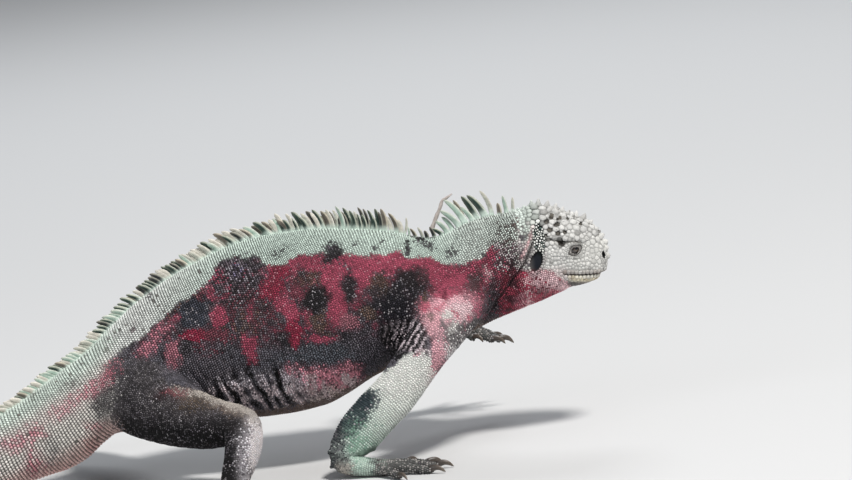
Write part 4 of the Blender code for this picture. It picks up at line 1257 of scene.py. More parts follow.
def mesh_object(name, verts, tris, uvs, cols, mat, slot):
    mesh = bpy.data.meshes.new(name)
    mesh.vertices.add(len(verts))
    mesh.vertices.foreach_set("co", place(verts).astype(np.float32).ravel())
    mesh.loops.add(len(tris) * 3)
    mesh.loops.foreach_set("vertex_index", tris.astype(np.int32).ravel())
    mesh.polygons.add(len(tris))
    mesh.polygons.foreach_set("loop_start", np.arange(0, len(tris) * 3, 3, dtype=np.int32))
    mesh.update(calc_edges=True)
    mesh.validate()
    if uvs is not None:
        layer = mesh.uv_layers.new(name="OFBake")
        layer.data.foreach_set("uv", uvs[tris.ravel()].astype(np.float32).ravel())
    layer = mesh.color_attributes.new("marking", "FLOAT_COLOR", "POINT")
    layer.data.foreach_set("color", np.concatenate([cols, np.ones((len(cols), 1))], 1).astype(np.float32).ravel())
    mesh.shade_smooth()
    mesh.materials.append(mat)
    obj = bpy.data.objects.new(name, mesh)
    bpy.context.scene.collection.objects.link(obj)
    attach(obj, "root")
    return obj


# rings of each kind of scale: height share, width share and painted shade (over 1, a painted highlight)
SMALL = ((-0.30, 1.0, 0.08), (0.50, 0.84, 0.84))
PLATE = ((-0.30, 1.0, 0.60), (0.66, 0.87, 0.97))
LARGE = ((-0.40, 1.0, 0.42), (0.26, 0.90, 0.80), (0.62, 0.64, 0.95), (0.90, 0.28, 1.04))
PEAK = ((-0.20, 1.0, 0.40), (0.20, 0.84, 0.74), (0.54, 0.54, 0.94), (0.86, 0.24, 1.06))
MOST_TRIS = 190000


def build_coat(mesh, co, mats):
    seeds = Seeds()
    body_seeds(seeds)
    limb_seeds(seeds)
    head_seeds(seeds, mesh, co)
    names, region, pos, lie, size, height, kind, u, v = seeds.join()
    print("seeds", len(pos), flush=True)
    # two scales can't grow from one place
    tree = KDTree(len(pos))
    for i, c in enumerate(pos):
        tree.insert(c, i)
    tree.balance()
    alive = np.ones(len(pos), bool)
    order = np.argsort(-size + (region == names.index("head")) * -2.0)
    for i in order:
        if not alive[i]:
            continue
        for _, j, d in tree.find_range(pos[i], 0.52 * size[i]):
            if j != i and alive[j] and d < 0.29 * (size[i] + size[j]):
                alive[j] = False
    region, pos, lie, size, height, kind, u, v = [a[alive] for a in (region, pos, lie, size, height, kind, u, v)]
    new, like = bare_spots(mesh, co, pos, size)
    print("filled", len(new), flush=True)
    pos = np.concatenate([pos, new])
    region, lie, size, height, kind, u, v = [np.concatenate([a, a[like]]) for a in (region, lie, size, height, kind, u, v)]
    kind = np.where((np.arange(len(kind)) >= len(kind) - len(like)) & (kind < -1.5), -1.0, kind)
    normal = unit(gradient(skin_field, pos, 0.35))
    lie = lie - normal * np.einsum("ij,ij->i", lie, normal)[:, None]
    lie = unit(lie)
    settled = np.abs(skin_field(pos)) < 0.25
    region, pos, lie, size, height, kind, u, v, normal = [a[settled] for a in (region, pos, lie, size, height, kind, u, v, normal)]
    print("left out as unsettled", (~settled).sum(), flush=True)
    # a scale whose tip would stand off a sharp bend is shorter and flatter
    stand = ramp(skin_field(pos + lie * (0.8 * size)[:, None]) / size, 0.16, 0.42) * (region != names.index("head"))
    size, height = size * (1 - 0.5 * stand), height * (1 - 0.6 * stand)
    print("shortened at bends", (stand > 0.3).sum(), flush=True)
    cross = np.cross(normal, lie)
    colour = markings(pos, normal, True)
    soft = contrast(pos, section(pos[:, 0])[:, 0])
    for number, name in enumerate(names):
        if "hind" in name or "fore" in name:
            soft = np.where(region == number, 0.75 if "hind" in name else 0.48 + 0.2 * ramp(u, 0.55, 0.75), soft)
    # red and black skin takes less painted shade in the gaps and on its scales' sides than pale skin
    red = ramp(colour[:, 0] / np.maximum(colour[:, 1], 1e-3), 1.9, 3.2) * ramp(pos[:, 0], 20.0, 0.0)
    soft = soft * (1 - 0.36 * red)
    made = []
    totals = 0
    made_of = (
        ("_rows", SMALL, kind > 0.3, 6), ("", SMALL, (kind <= 0.3) & (kind >= 0), 5), ("_plates", PLATE, (kind < 0) & (kind > -1.5), 8),
        ("_bosses", LARGE, (kind < -1.5) & (kind > -2.5), 11), ("_peaks", PEAK, kind < -2.5, 12),
    )
    near = neighbours(pos)
    for word, plan, which, sides in made_of:
        if not which.any():
            continue
        radii, angles = outlines(pos, normal, lie, cross, size, sides, near, np.nonzero(which)[0])
        for number, name in enumerate(names):
            chosen = np.nonzero((region == number) & which)[0]
            if not len(chosen):
                continue
            chosen = chosen[np.argsort(u[chosen])]
            tris_each = (sides * 2) * (len(plan) - 1) + sides + sides - 2
            parts = max(1, math.ceil(len(chosen) * tris_each / MOST_TRIS))
            for k, part in enumerate(np.array_split(chosen, parts), 1):
                uv = np.stack([np.clip(u[part], 0, 1) * 0.97 + 0.015, np.clip(v[part], 0, 1) * 0.97 + 0.015], 1)
                arrays = scale_arrays(
                    pos[part], normal[part], lie[part], cross[part], size[part], height[part], kind[part],
                    radii[part], angles, uv, colour[part], plan, soft[part],
                )
                arrays[0][:, 2] = np.maximum(arrays[0][:, 2], 0.0)
                title = f"scales_{name}{word}" + (f"_{k}" if parts > 1 else "")
                slot = "head_scales" if name == "head" else "tail_scales" if name == "tail" else "body_scales" if name in ("trunk", "neck") else "limb_scales"
                made.append(mesh_object(title, *arrays, mats["scales"], slot))
                totals += len(arrays[1])
    print("coat triangles", totals, "scales", len(pos), flush=True)
    return made
# ---------------------------------------------------------------- markings
def srgb(r, g, b):
    c = np.array([r, g, b]) / 255.0
    return np.where(c < 0.04045, c / 12.92, ((c + 0.055) / 1.055) ** 2.4)


MINT, PALE, CREAM = srgb(204, 219, 209), srgb(214, 216, 212), srgb(222, 216, 200)
CRIMSON, DEEP, WINE = srgb(164, 74, 95), srgb(138, 44, 66), srgb(100, 52, 62)
ROSE, BLUSH, MILK = srgb(200, 130, 144), srgb(218, 188, 191), srgb(226, 222, 218)
CHARCOAL, SLATE, ASH = srgb(58, 53, 58), srgb(84, 82, 89), srgb(132, 127, 129)
OLIVE, BROWN, GREEN = srgb(150, 146, 128), srgb(104, 84, 74), srgb(122, 158, 140)
BONE = srgb(200, 192, 178)

# Lower edge of the pale band along the back (side view; numbers are places across and down the view)
BAND = ((-60, 520), (0, 452), (40, 420), (75, 396), (105, 366), (135, 340), (158, 322), (178, 303), (196, 292), (208, 284), (220, 262), (236, 257), (258, 259),
        (266, 268), (274, 266), (290, 264), (300, 256), (322, 254), (352, 254), (376, 257), (388, 254), (396, 250), (406, 256), (430, 258), (440, 263), (458, 262),
        (472, 260), (484, 256), (488, 247), (493, 242), (498, 248), (503, 258), (510, 264), (520, 268), (540, 272), (640, 300))
# across, down, half width, half height, turn, colour, strength, softness
BEFORE = (
    # crimson, wine and brown of the flank, behind the pale band
    (272, 288, 13, 13, 20, DEEP, 1.0, 0.3), (281, 272, 11, 7, -10, DEEP, 1.0, 0.3), (284, 302, 9, 8, 0, CRIMSON, 0.9, 0.35), (300, 286, 12, 14, 0, WINE * 1.3, 0.7, 0.5),
    (314, 263, 17, 9, 0, CRIMSON * 0.86, 0.85, 0.35), (311, 278, 14, 8, 0, BROWN, 0.6, 0.5), (296, 328, 7, 20, -6, DEEP, 1.0, 0.25), (293, 312, 7, 8, 0, CRIMSON, 0.9, 0.3),
    (332, 279, 8, 15, 0, CRIMSON, 1.0, 0.3), (338, 306, 9, 20, 0, CRIMSON, 0.95, 0.3), (322, 338, 16, 5, 0, CRIMSON, 0.9, 0.3), (320, 320, 10, 10, 0, BROWN * 1.1, 0.7, 0.5),
    (348, 252, 6, 6, 0, CRIMSON, 0.9, 0.3), (361, 270, 8, 20, 0, CRIMSON, 1.0, 0.3), (378, 263, 22, 8, 0, CRIMSON, 1.0, 0.25), (395, 255, 11, 9, 0, CRIMSON, 0.9, 0.3),
    (422, 262, 26, 7, 0, CRIMSON, 1.0, 0.25), (440, 276, 9, 16, 0, CRIMSON, 1.0, 0.25), (455, 275, 18, 11, 0, CRIMSON, 1.0, 0.3), (349, 321, 11, 9, 0, ROSE * 0.62, 0.85, 0.4),
    (371, 312, 10, 6, 20, BROWN * 1.15, 0.8, 0.4), (352, 256, 14, 6, 0, CRIMSON, 0.9, 0.3), (368, 296, 8, 6, 30, WINE * 1.3, 0.6, 0.5), (356, 301, 5, 8, 0, CRIMSON * 0.8, 0.6, 0.5),
    (220, 316, 8, 12, 10, CRIMSON, 0.95, 0.3), (195, 335, 14, 5, 0, DEEP, 1.0, 0.3), (212, 293, 4, 9, -20, CRIMSON * 0.9, 0.8, 0.5), (253, 347, 9, 13, 0, CRIMSON * 0.86, 0.9, 0.4),
    (248, 338, 5, 5, 0, CRIMSON, 0.7, 0.4), (253, 312, 4, 11, 0, CRIMSON * 0.8, 0.7, 0.5), (219, 336, 17, 7, 12, WINE * 1.4, 0.8, 0.5), (237, 301, 19, 12, 0, WINE * 1.0, 0.45, 0.7),
    (206, 284, 9, 4, -35, ROSE, 0.5, 0.6), (176, 318, 6, 4, -30, CRIMSON, 0.7, 0.5), (160, 331, 17, 9, -35, ROSE * 0.9, 0.55, 0.7), (176, 352, 8, 15, 0, ROSE * 0.70, 0.9, 0.4),
    (150, 347, 13, 8, -30, ROSE * 0.95, 0.6, 0.6), (208, 350, 15, 9, 0, WINE * 1.3, 0.4, 0.7), (268, 318, 16, 20, 0, WINE, 0.35, 0.7),
    (482, 270, 10, 19, 0, CRIMSON, 0.9, 0.4), (492, 252, 6, 14, 0, CRIMSON, 0.9, 0.4), (500, 275, 14, 9, 0, CRIMSON * 0.8, 0.7, 0.5), (464, 292, 22, 9, 0, CRIMSON, 0.6, 0.5),
    (486, 275, 5, 8, 0, BLUSH, 0.5, 0.6),
)
AFTER = (
    # charcoal and brown patches
    (196.5, 312, 17, 15.5, 0, srgb(62, 64, 73), 1.0, 0.10), (188, 347, 10, 7.5, 0, CHARCOAL, 0.95, 0.2), (241, 272, 21, 15, 0, srgb(84, 76, 84), 0.82, 0.8), (240, 270, 7, 6, 0, srgb(118, 110, 136), 0.6, 0.9), (226, 284, 9, 6, 0, srgb(96, 78, 84), 0.6, 0.9),
    (280, 252, 8, 5, -20, CHARCOAL, 0.55, 0.9), (302, 274, 8, 6, 0, CHARCOAL, 0.5, 0.6), (335, 254, 9, 10, 15, CHARCOAL * 0.6, 0.95, 0.3), (330, 248, 6, 5, 0, CHARCOAL, 0.7, 0.4),
    (350, 284, 8, 14, 0, CHARCOAL * 0.6, 0.92, 0.3), (317, 297, 14, 14, 0, CHARCOAL * 0.36, 0.95, 0.3), (285, 337, 7, 7, 0, CHARCOAL * 0.6, 0.8, 0.5),
    (380, 284, 11, 11, 20, BROWN * 0.75, 0.85, 0.4), (374, 290, 7, 6, 0, CHARCOAL, 0.7, 0.5), (412, 280, 19, 14, 0, CHARCOAL * 0.36, 0.95, 0.35), (398, 306, 20, 22, 0, srgb(29, 28, 35), 0.96, 0.4),
    (424, 276, 8, 9, 0, srgb(92, 60, 66), 0.7, 0.5), (474, 281, 9, 13, 10, srgb(76, 58, 60), 0.85, 0.4), (495, 285, 10, 8, 0, CHARCOAL, 0.6, 0.5), (462, 292, 8, 5, 30, srgb(86, 58, 64), 0.5, 0.6),
    (356, 243.5, 3, 2, 0, CHARCOAL, 0.7, 0.6), (374.5, 248.5, 3.5, 2.6, 0, CHARCOAL, 0.75, 0.5), (381, 244, 2.4, 2, 0, CHARCOAL, 0.7, 0.5), (408, 249, 3, 7, 5, CHARCOAL * 0.6, 0.95, 0.4),
    (427, 245, 8, 5, 10, CHARCOAL, 0.75, 0.7), (449, 252, 6, 6, 30, CHARCOAL, 0.7, 0.7), (483, 251, 2.4, 2.2, 0, CHARCOAL, 0.7, 0.4), (421, 236, 15, 4.6, -2, srgb(30, 32, 30), 1.0, 0.3),
    (514, 226, 3.4, 5, 20, srgb(84, 66, 62), 0.75, 0.7), (507, 240, 4, 6, 30, srgb(84, 66, 62), 0.5, 0.9), (135, 325, 5, 6, 0, srgb(110, 92, 96), 0.5, 0.9), (148, 296, 3.5, 2.5, 0, CHARCOAL, 0.5, 0.8),
    # slate low on the flank
    (330, 356, 48, 14, -4, srgb(94, 98, 106), 0.7, 0.5), (370, 345, 20, 22, 0, srgb(98, 92, 100), 0.7, 0.6), (215, 370, 40, 14, 12, srgb(98, 92, 98), 0.6, 0.5),
    # shoulder, breast and top of the arm
    (447, 308, 29, 18, -4, srgb(224, 168, 178), 0.95, 0.35), (461, 310, 17, 12, 0, srgb(226, 198, 202), 0.9, 0.6), (447, 291, 16, 7, 0, CRIMSON * 1.1, 0.9, 0.5), (424, 304, 6, 8, 0, srgb(196, 104, 122), 0.8, 0.6),
    (425, 297, 4, 3.5, 0, srgb(84, 78, 58), 0.8, 0.6), (434, 288, 4, 5, 0, srgb(70, 40, 44), 0.6, 0.6), (445, 293, 2.5, 5, 0, srgb(96, 34, 50), 0.7, 0.6), (453, 314, 5, 3, 30, srgb(196, 104, 122), 0.7, 0.7), (440, 306, 8, 3, -20, srgb(190, 98, 116), 0.6, 0.8),
    (467, 317, 4, 4, 0, srgb(190, 90, 112), 0.7, 0.7), (476, 300, 9, 6, 20, ROSE, 0.7, 0.6), (478, 310, 6, 7, 0, srgb(176, 90, 112), 0.7, 0.6), (432, 324, 12, 12, 0, srgb(222, 170, 178), 0.9, 0.4), (430, 318, 4, 5, 0, srgb(110, 98, 92), 0.6, 0.6),
    (446, 316, 6, 5, 0, MILK * 0.94, 0.9, 0.6), (453, 328, 5, 7, 20, MILK * 0.92, 0.9, 0.6), (443, 328, 4.6, 9, -24, ASH * 0.62, 0.96, 0.3), (460, 328, 3.2, 8, 14, ASH * 0.62, 0.95, 0.3), (474, 324, 8, 6, -24, ASH * 0.45, 0.95, 0.3), (459, 339, 13, 5.5, -8, ASH * 0.95, 0.85, 0.5),
    # the near-black oval at (399, 352) is painted shadow under the top of the arm
    (451, 353, 9, 12, -30, srgb(216, 212, 212), 0.92, 0.5), (449, 358, 3, 5, 10, ASH * 0.7, 0.5, 0.6), (439, 348, 7, 22, 4, srgb(230, 176, 186), 0.9, 0.6), (431, 376, 5, 10, 20, srgb(230, 178, 186), 0.75, 0.6), (399, 352, 9, 7, -20, srgb(16, 14, 16), 0.95, 0.5),
    (421, 352, 12, 7, 0, srgb(226, 214, 216), 0.92, 0.35), (422, 341, 5, 5, 0, CHARCOAL * 0.5, 0.9, 0.5), (426, 353, 2.2, 2.2, 0, CHARCOAL, 0.8, 0.5), (418, 352, 5, 2, -14, srgb(224, 164, 176), 0.7, 0.6),
    # low on the flank
    (318, 378, 27, 12, 4, srgb(252, 168, 184), 0.97, 0.5), (344, 376, 18, 13, -25, srgb(254, 170, 186), 0.97, 0.5), (330, 392, 24, 8, -8, srgb(246, 226, 222), 0.85, 0.7), (322, 389, 5, 5, 0, CHARCOAL, 0.6, 0.8), (292, 370, 6, 10, 0, ROSE, 0.6, 0.7), (230, 383, 13, 5, 16, srgb(14, 12, 14), 0.9, 0.5),
)
# tail and hip
TAIL_MARKS = (
    (115, 370, 10, 16, 30, srgb(186, 92, 112), 0.75, 0.6), (94, 389, 19, 8, -25, srgb(196, 122, 136), 0.7, 0.7), (66, 407, 20, 9, -25, srgb(206, 152, 160), 0.6, 0.8),
    (38, 431, 10, 9, 0, srgb(196, 126, 138), 0.65, 0.8), (18, 441, 20, 9, -15, srgb(198, 132, 144), 0.65, 0.8), (36, 461, 10, 14, 0, srgb(190, 116, 130), 0.65, 0.8),
    (94, 447, 12, 12, 0, srgb(214, 170, 166), 0.6, 0.8), (96, 424, 9, 6, 0, srgb(198, 140, 146), 0.5, 0.8), (56, 452, 10, 14, 0, srgb(150, 146, 146), 0.4, 0.8),
    (104, 402, 10, 14, 20, srgb(92, 88, 90), 0.75, 0.7), (70, 385, 9, 5, -25, srgb(140, 136, 132), 0.4, 0.8), (35, 392, 7, 5, -25, srgb(110, 112, 104), 0.5, 0.8),
    (104, 347, 6, 4, 0, srgb(120, 122, 112), 0.5, 0.8), (62, 474, 22, 8, -20, srgb(206, 156, 152), 0.5, 0.8), (-30, 470, 22, 18, 0, srgb(196, 136, 146), 0.55, 0.8),
    (140, 345, 12, 7, -35, srgb(186, 120, 132), 0.5, 0.8),
)


def in_photo(p, yc):
    """Where a point shows in the side view. The left side uses the same places, as if mirrored."""
    y = yc - np.abs(p[:, 1] - yc)
    v = (p[:, 2] - 137.3) * math.cos(LEAN) + y * math.sin(LEAN)
    u = p[:, 0]
    c, s = math.cos(ROLL), math.sin(ROLL)
    return 426 + (u * c - v * s) / 0.66, 240 - (u * s + v * c) / 0.66


def layer(col, new, mask):
    return col * (1 - mask[:, None]) + np.asarray(new) * mask[:, None]


def dither(mask, seed, each, spread=0.7):
    """Soft edges break up into single scales."""
    m = np.clip(mask, 0, 1)
    if not each:
        return m
    hard = np.clip((m - seed * 0.8 - 0.1) / 0.14 + 0.5, 0, 1)
    return np.where((m > 0.01) & (m < 0.99), spread * hard + (1 - spread) * m, m)


def spots(table, px, py, rough):
    out = []
    for cx, cy, rx, ry, turn, colour, strength, soft in table:
        a = math.radians(turn)
        dx, dy = px - cx, py - cy
        u = (dx * math.cos(a) + dy * math.sin(a)) / rx
        v = (-dx * math.sin(a) + dy * math.cos(a)) / ry
        rho = np.sqrt(u * u + v * v) + rough * min(1.0, 7.0 / min(rx, ry))
        out.append((strength * ramp(rho, 1 + soft * 1.0, 1 - soft * 1.15), np.asarray(colour)))
    return out


def ribbon_share(x):
    """How far the scales of a row run together into a ribbon: fully on the tail, less so on the back."""
    return 0.12 * ramp(x, 5.0, -30.0) + 0.55 * ramp(x, -62.0, -122.0) + 0.33 * ramp(x, -150.0, -235.0)


def throat_edge(x):
    """Height of the line where the crimson throat begins."""
    return np.interp(x, (56, 72, 78, 82, 86, 89, 92), (112.5, 112.0, 110.0, 107.0, 103.0, 99.5, 96.0))


def contrast(p, yc):
    """How dark the ground between scales is (dark skin with painted shade in the gaps) and how strong the painted shade
    on the scales' sides: strong on the tail and throat, weak on the face.
    """
    x, z = p[:, 0], p[:, 2]
    out = 0.84 + 0.16 * ramp(x, -40.0, -105.0)
    out = np.maximum(out, ramp(x, 30.0, 42.0))
    out = out - 0.70 * ramp(x, 58.0, 68.0)
    edge = throat_edge(x)
    out = out + (0.82 - out) * ramp(z, edge + 2.0, edge - 2.0) * ramp(x, 91.0, 84.0)
    out = out + (0.62 - out) * ramp(x, 84.0, 72.0) * ramp(z, 120.0, 128.0) * ramp(x, 56.0, 60.0)
    out = out + (0.95 - out) * ramp(np.hypot((x - 73.6) / 4.6, (z - 134) / 13.0), 1.15, 0.8)
    w, _ = armpit_folds(p, np.abs(p[:, 1] - yc), yc)
    return out * (1 - 0.5 * w)


def markings(p, normal, each):
    """Base colour of skin or scales at points. each is True for scales, which take one side or the other of an edge."""
    yc = section(p[:, 0])[:, 0]
    left = p[:, 1] > yc
    side_y = np.abs(p[:, 1] - yc)
    warp = np.where(left[:, None], p + [31.0, 0.0, 17.0], p)
    fx, fy = fbm(warp, 10.0, 21, 3), fbm(warp, 10.0, 22, 3)
    grain = fbm(warp, 2.6, 41, 2)
    rows = np.stack([(warp[:, 0] + 0.36 * warp[:, 2]) * 3.0, warp[:, 1] * 0.8, warp[:, 2] * 0.8], 1)
    streak = noise(rows, 4.6, 42)
    px, py = in_photo(p, yc)
    px = px + 4.8 * fx + 2.4 * grain + np.where(left, 6.0 * noise(warp, 40.0, 23), 0)
    py = py + 4.8 * fy - 2.4 * grain + 2.0 * streak + np.where(left, 5.0 * noise(warp, 40.0, 24), 0)
    fine = fbm(warp, 4.0, 25, 2)
    seed = (np.abs(np.sin(p @ np.array([12.9898, 78.233, 37.719])) * 43758.5453)) % 1.0
    seed2 = (np.abs(np.sin(p @ np.array([39.346, 11.135, 83.155])) * 24634.6345)) % 1.0
    third = (seed * 7.13 + seed2 * 3.7) % 1.0
    rough = 0.24 * fine + 0.16 * streak + 0.20 * grain
    pick = lambda mask, spread=0.7: dither(mask, seed, each, spread)

    # dark ground of the flank with wine and grey in it
    ground = srgb(70, 65, 71)
    col = np.broadcast_to(ground, (len(p), 3)).copy()
    col = layer(col, SLATE * 1.12, pick(ramp(py, 335, 355) * 0.9))
    col = layer(col, srgb(112, 106, 114), pick(0.62 * ramp(streak + 0.6 * fine, 0.15, 0.75), 1.0))
    col = layer(col, srgb(48, 43, 48), pick(0.75 * ramp(fine + 0.5 * grain, -0.1, -0.6), 1.0))
    col = layer(col, WINE, pick(0.60 * ramp(fine - 0.4 * streak, -0.2, 0.4) * ramp(py, 352, 330)))
    wide = fbm(warp, 17.0, 51, 3)
    col = layer(col, CRIMSON * 0.80, pick(0.75 * ramp(wide + 0.5 * fine, 0.16, 0.5) * ramp(py, 345, 325) * ramp(px, 410, 380)))
    col = layer(col, BROWN * 0.8, pick(0.5 * ramp(-wide + 0.5 * grain, 0.2, 0.6) * ramp(py, 345, 325)))
    # crimson speckle where the belt runs
    belt = ramp(px, 258, 270) * ramp(py, 296, 276) * ramp(px, 520, 500)
    col = layer(col, CRIMSON, pick(belt * (0.62 + 0.7 * fine), 0.9))
    # pale band of the back
    bx, by = np.array(BAND).T
    edge = np.interp(px, bx, by) + 3.0 * streak
    band = ramp(py, edge + 2.5, edge - 2.5)
    tone = MINT * (1 + 0.07 * fine[:, None])
    tone = layer(np.broadcast_to(tone, col.shape), PALE, ramp(px, 245, 130))
    tone = layer(tone, PALE * 0.95, 0.45 * ramp(px, 430, 470))
    neck_side = ramp(px, 486, 500) * ramp(py, 214, 228)
    tone = layer(tone, srgb(176, 170, 166), 0.55 * neck_side * ramp(py, 232, 248))
    tone = layer(tone, srgb(86, 76, 74), dither((0.26 if each else 0.6) * neck_side, third, each, 1.0))
    tone = layer(tone, srgb(118, 116, 112), dither(0.16 * ramp(px, 440, 470) + 0.5 * ramp(streak + fine, 0.55, 1.0) * ramp(px, 250, 200), third, each, 1.0))
    for mask, colour in spots(BEFORE, px, py, rough):
        col = layer(col, colour * (1 + 0.16 * fine[:, None] + 0.10 * streak[:, None]), pick(mask * ramp(py, edge - 6, edge + 1)))
    col = layer(col, tone, pick(band))
    # the charcoal patch of the hip is a mix of grey, violet and wine
    hip = np.exp(-(((px - 238) / 26) ** 2) - ((py - 280) / 24) ** 2) * ramp(py, edge - 4, edge + 2)
    for mask, colour in spots(AFTER, px, py, rough):
        col = layer(col, colour * (1 + 0.12 * fine[:, None] + 0.12 * streak[:, None]), pick(mask))
    front = np.exp(-(((px - 460) / 19) ** 2) - ((py - 337) / 15) ** 2)
    col = layer(col, srgb(206, 202, 200), dither(0.50 * front, third, each, 1.0))
    col = layer(col, srgb(82, 78, 78), dither(0.24 * front, seed2, each, 1.0))
    col = layer(col, srgb(150, 142, 150), dither(0.30 * hip, third, each, 1.0))
    col = layer(col, srgb(48, 40, 44), dither(0.42 * hip, seed2, each, 1.0))
    col = layer(col, srgb(128, 66, 82), dither(0.30 * hip * ramp(fine, -0.3, 0.3), (third * 3.7) % 1.0, each, 1.0))
    # beads of the neck's side: grey and wine among the crimson
    side_neck = ramp(px, 490, 500) * ramp(px, 528, 520) * ramp(py, 238, 246) * ramp(py, 278, 268)
    col = layer(col, srgb(184, 172, 174), dither(0.62 * side_neck, third, each, 1.0))
    col = layer(col, srgb(84, 52, 60), dither(0.34 * side_neck, seed2, each, 1.0))
    # neck behind the ear, throat
    neck = ramp(px, 512, 520) * ramp(px, 534, 528) * ramp(py, 226, 236) * ramp(py, 272, 264)
    col = layer(col, srgb(186, 178, 176), pick(0.75 * neck))
    col = layer(col, CHARCOAL * 1.3, dither(0.32 * neck, third, each, 1.0))
    throat = ramp(px, 494, 506) * ramp(py, 266, 272) * ramp(px, 588, 560)
    col = layer(col, srgb(168, 66, 86), pick(0.95 * throat))
    col = layer(col, WINE * 0.8, pick(throat * ramp(fine, 0.0, 0.5) * ramp(px, 530, 512)))
    col = layer(col, ROSE, pick(throat * 0.7 * ramp(py, 290, 299) * ramp(px, 508, 520)))
    beads = throat * ramp(px, 516, 530)
    if each:
        col = layer(col, srgb(214, 186, 188), beads * (third > 0.42) * 0.8)
    # low flank: painted highlights on the ridges and painted shade, near black, in the slits between the slack folds
    w, groove = flank_folds(p, side_y, np.where(left, 40.0, 0.0))
    ridge = np.clip(1.5 * w, 0, 0.95) * ramp(groove, 0.46, 0.16)
    col = layer(col, srgb(196, 188, 194) * (1 + 0.5 * fine[:, None]), pick(0.92 * ridge * ramp(py + 3 * grain, 364, 378)))
    col = layer(col, srgb(242, 222, 225) * (1 + 0.2 * fine[:, None]), pick(0.78 * ridge * ramp(py + 4 * grain, 376, 390)))
    col = layer(col, srgb(70, 64, 70), dither(0.33 * ridge, third, each, 1.0))
    # pale strokes and dark dots in the pink patch low on the flank
    low = ramp(py, 358, 368) * ramp(px, 284, 298) * ramp(px, 372, 358) * (1 - 0.8 * w)
    col = layer(col, srgb(248, 226, 228), pick(0.85 * low * ramp(py, 367, 376) * ramp(noise(np.stack([warp[:, 0] * 2.6, warp[:, 1] * 0.4, warp[:, 2] * 0.4], 1), 7.0, 71), 0.0, 0.35)))
    col = layer(col, srgb(76, 62, 68), dither(0.26 * low, third, each, 0.9))
    col = layer(col, srgb(12, 10, 12), np.clip(1.6 * w, 0, 0.98) * ramp(groove, 0.42, 0.66))
    # armpit: painted shadow over the folds, pale streaks along their ridges and painted shade in their grooves
    w, groove = armpit_folds(p, side_y, yc)
    w = w * ramp(py, 352 + 0.25 * (px - 400), 346 + 0.25 * (px - 400)) * ramp(px, 432, 420) * ramp(py + 0.2 * (px - 400), 314, 328)
    col = layer(col, srgb(26, 23, 26), pick(np.clip(1.1 * w, 0, 0.9)))
    col = layer(col, srgb(222, 206, 212), np.clip(1.3 * w, 0, 0.92) * ramp(groove, 0.30, 0.12) * (0.25 + 0.75 * ramp(px + 0.5 * (py - 335), 386, 404)) * ramp(px + 0.5 * (py - 335), 376, 388))
    col = layer(col, srgb(16, 14, 16), np.clip(1.3 * w, 0, 0.95) * ramp(groove, 0.35, 0.70))
    # belly
    under = ramp(normal[:, 2], -0.72, -0.92) * ramp(p[:, 0], 60, 30) * ramp(p[:, 0], -260, -215)
    col = layer(col, srgb(112, 96, 88), pick(0.8 * under))
    # tail: pale whorls with rosy clouds
    tail = ramp(p[:, 0], -200, -226)
    sec = section(p[:, 0])
    share = (p[:, 2] - sec[:, 2]) / np.maximum(sec[:, 1] - sec[:, 2], 1.0)
    cloud = fbm(warp, 24.0, 31, 3)
    pale = np.broadcast_to(srgb(212, 208, 202), col.shape) * (1 + 0.08 * fine[:, None])
    tcol = layer(pale, MINT, ramp(share, 0.70, 0.92) * 0.8)
    tcol = layer(tcol, srgb(216, 176, 170), 0.7 * ramp(share, 0.34, 0.10) * ramp(p[:, 0], -420, -300))
    far = ramp(p[:, 0], -285, -310)
    tcol = layer(tcol, srgb(200, 132, 142), 0.7 * far * ramp(cloud, 0.0, 0.34) * ramp(share, 0.95, 0.7))
    tcol = layer(tcol, srgb(130, 124, 120), 0.5 * far * ramp(cloud, -0.1, -0.4) * ramp(share, 0.9, 0.6))
    for mask, colour in spots(TAIL_MARKS, px, py, rough * 1.5):
        tcol = layer(tcol, colour, pick(mask * (1 - far), 0.45))
    tcol = layer(tcol, srgb(120, 118, 112), pick(0.22 * (1 - far) * ramp(streak + fine, 0.4, 0.9), 1.0))
    rear = ramp(p[:, 0], -350, -640)
    tcol = layer(tcol, srgb(120, 113, 106), rear * 0.62)
    ring = 0.5 + 0.5 * np.cos(2 * math.pi * p[:, 0] / 46.0 + 1.2 * fine)
    tcol = layer(tcol, srgb(70, 66, 66), 0.55 * ramp(p[:, 0], -320, -440) * ramp(ring, 0.55, 0.8))
    col = layer(col, tcol, pick(tail))
    # limbs
    body = body_field(p)
    soft = contrast(p, yc)
    reach = {}
    for limb, tube in TUBES.items():
        near = in_box(p, tube.lo, tube.hi, 60.0)
        full = np.full(len(p), 1e3)
        if near.any():
            full[near] = np.minimum(tube.near(p[near])[0], np.min([t.near(p[near])[0] for t in TOE_TUBES[limb]], axis=0))
        reach[limb] = full
    for limb, tube in TUBES.items():
        near = reach[limb] < np.min([reach[o] for o in TUBES if o != limb], axis=0)
        near &= reach[limb] < 100
        if not near.any():
            continue
        q = p[near]
        d, s, ang = tube.near(q)
        toes = np.min([t.near(q)[0] for t in TOE_TUBES[limb]], axis=0)
        other = body[near]
        w = ramp(np.minimum(d, toes) - other, 1.5, -3.5)
        if not (w > 0).any():
            continue
        f, g, k, s1, s3 = fine[near], grain[near], streak[near], seed[near], third[near]
        old = col[near]
        local = lambda mask, spread=0.7: dither(mask, s1, each, spread)
        blob = lambda cx, cy, rx, ry: np.exp(-(((x_ - cx) / rx) ** 2) - ((y_ - cy) / ry) ** 2)
        total = tube.s[-1]
        t = s / total
        x_, y_ = px[near], py[near]
        if "fore" in limb:
            c = np.broadcast_to(srgb(222, 225, 219), q.shape) * (1 + 0.06 * f[:, None])
            t_low = ramp(t, 0.48, 0.72)
            c = layer(c, srgb(186, 206, 194), 0.85 * t_low)
            c = layer(c, srgb(120, 150, 136), local(0.55 * t_low * ramp(f + 0.5 * g, 0.0, 0.5)))
            if limb == "right_fore":
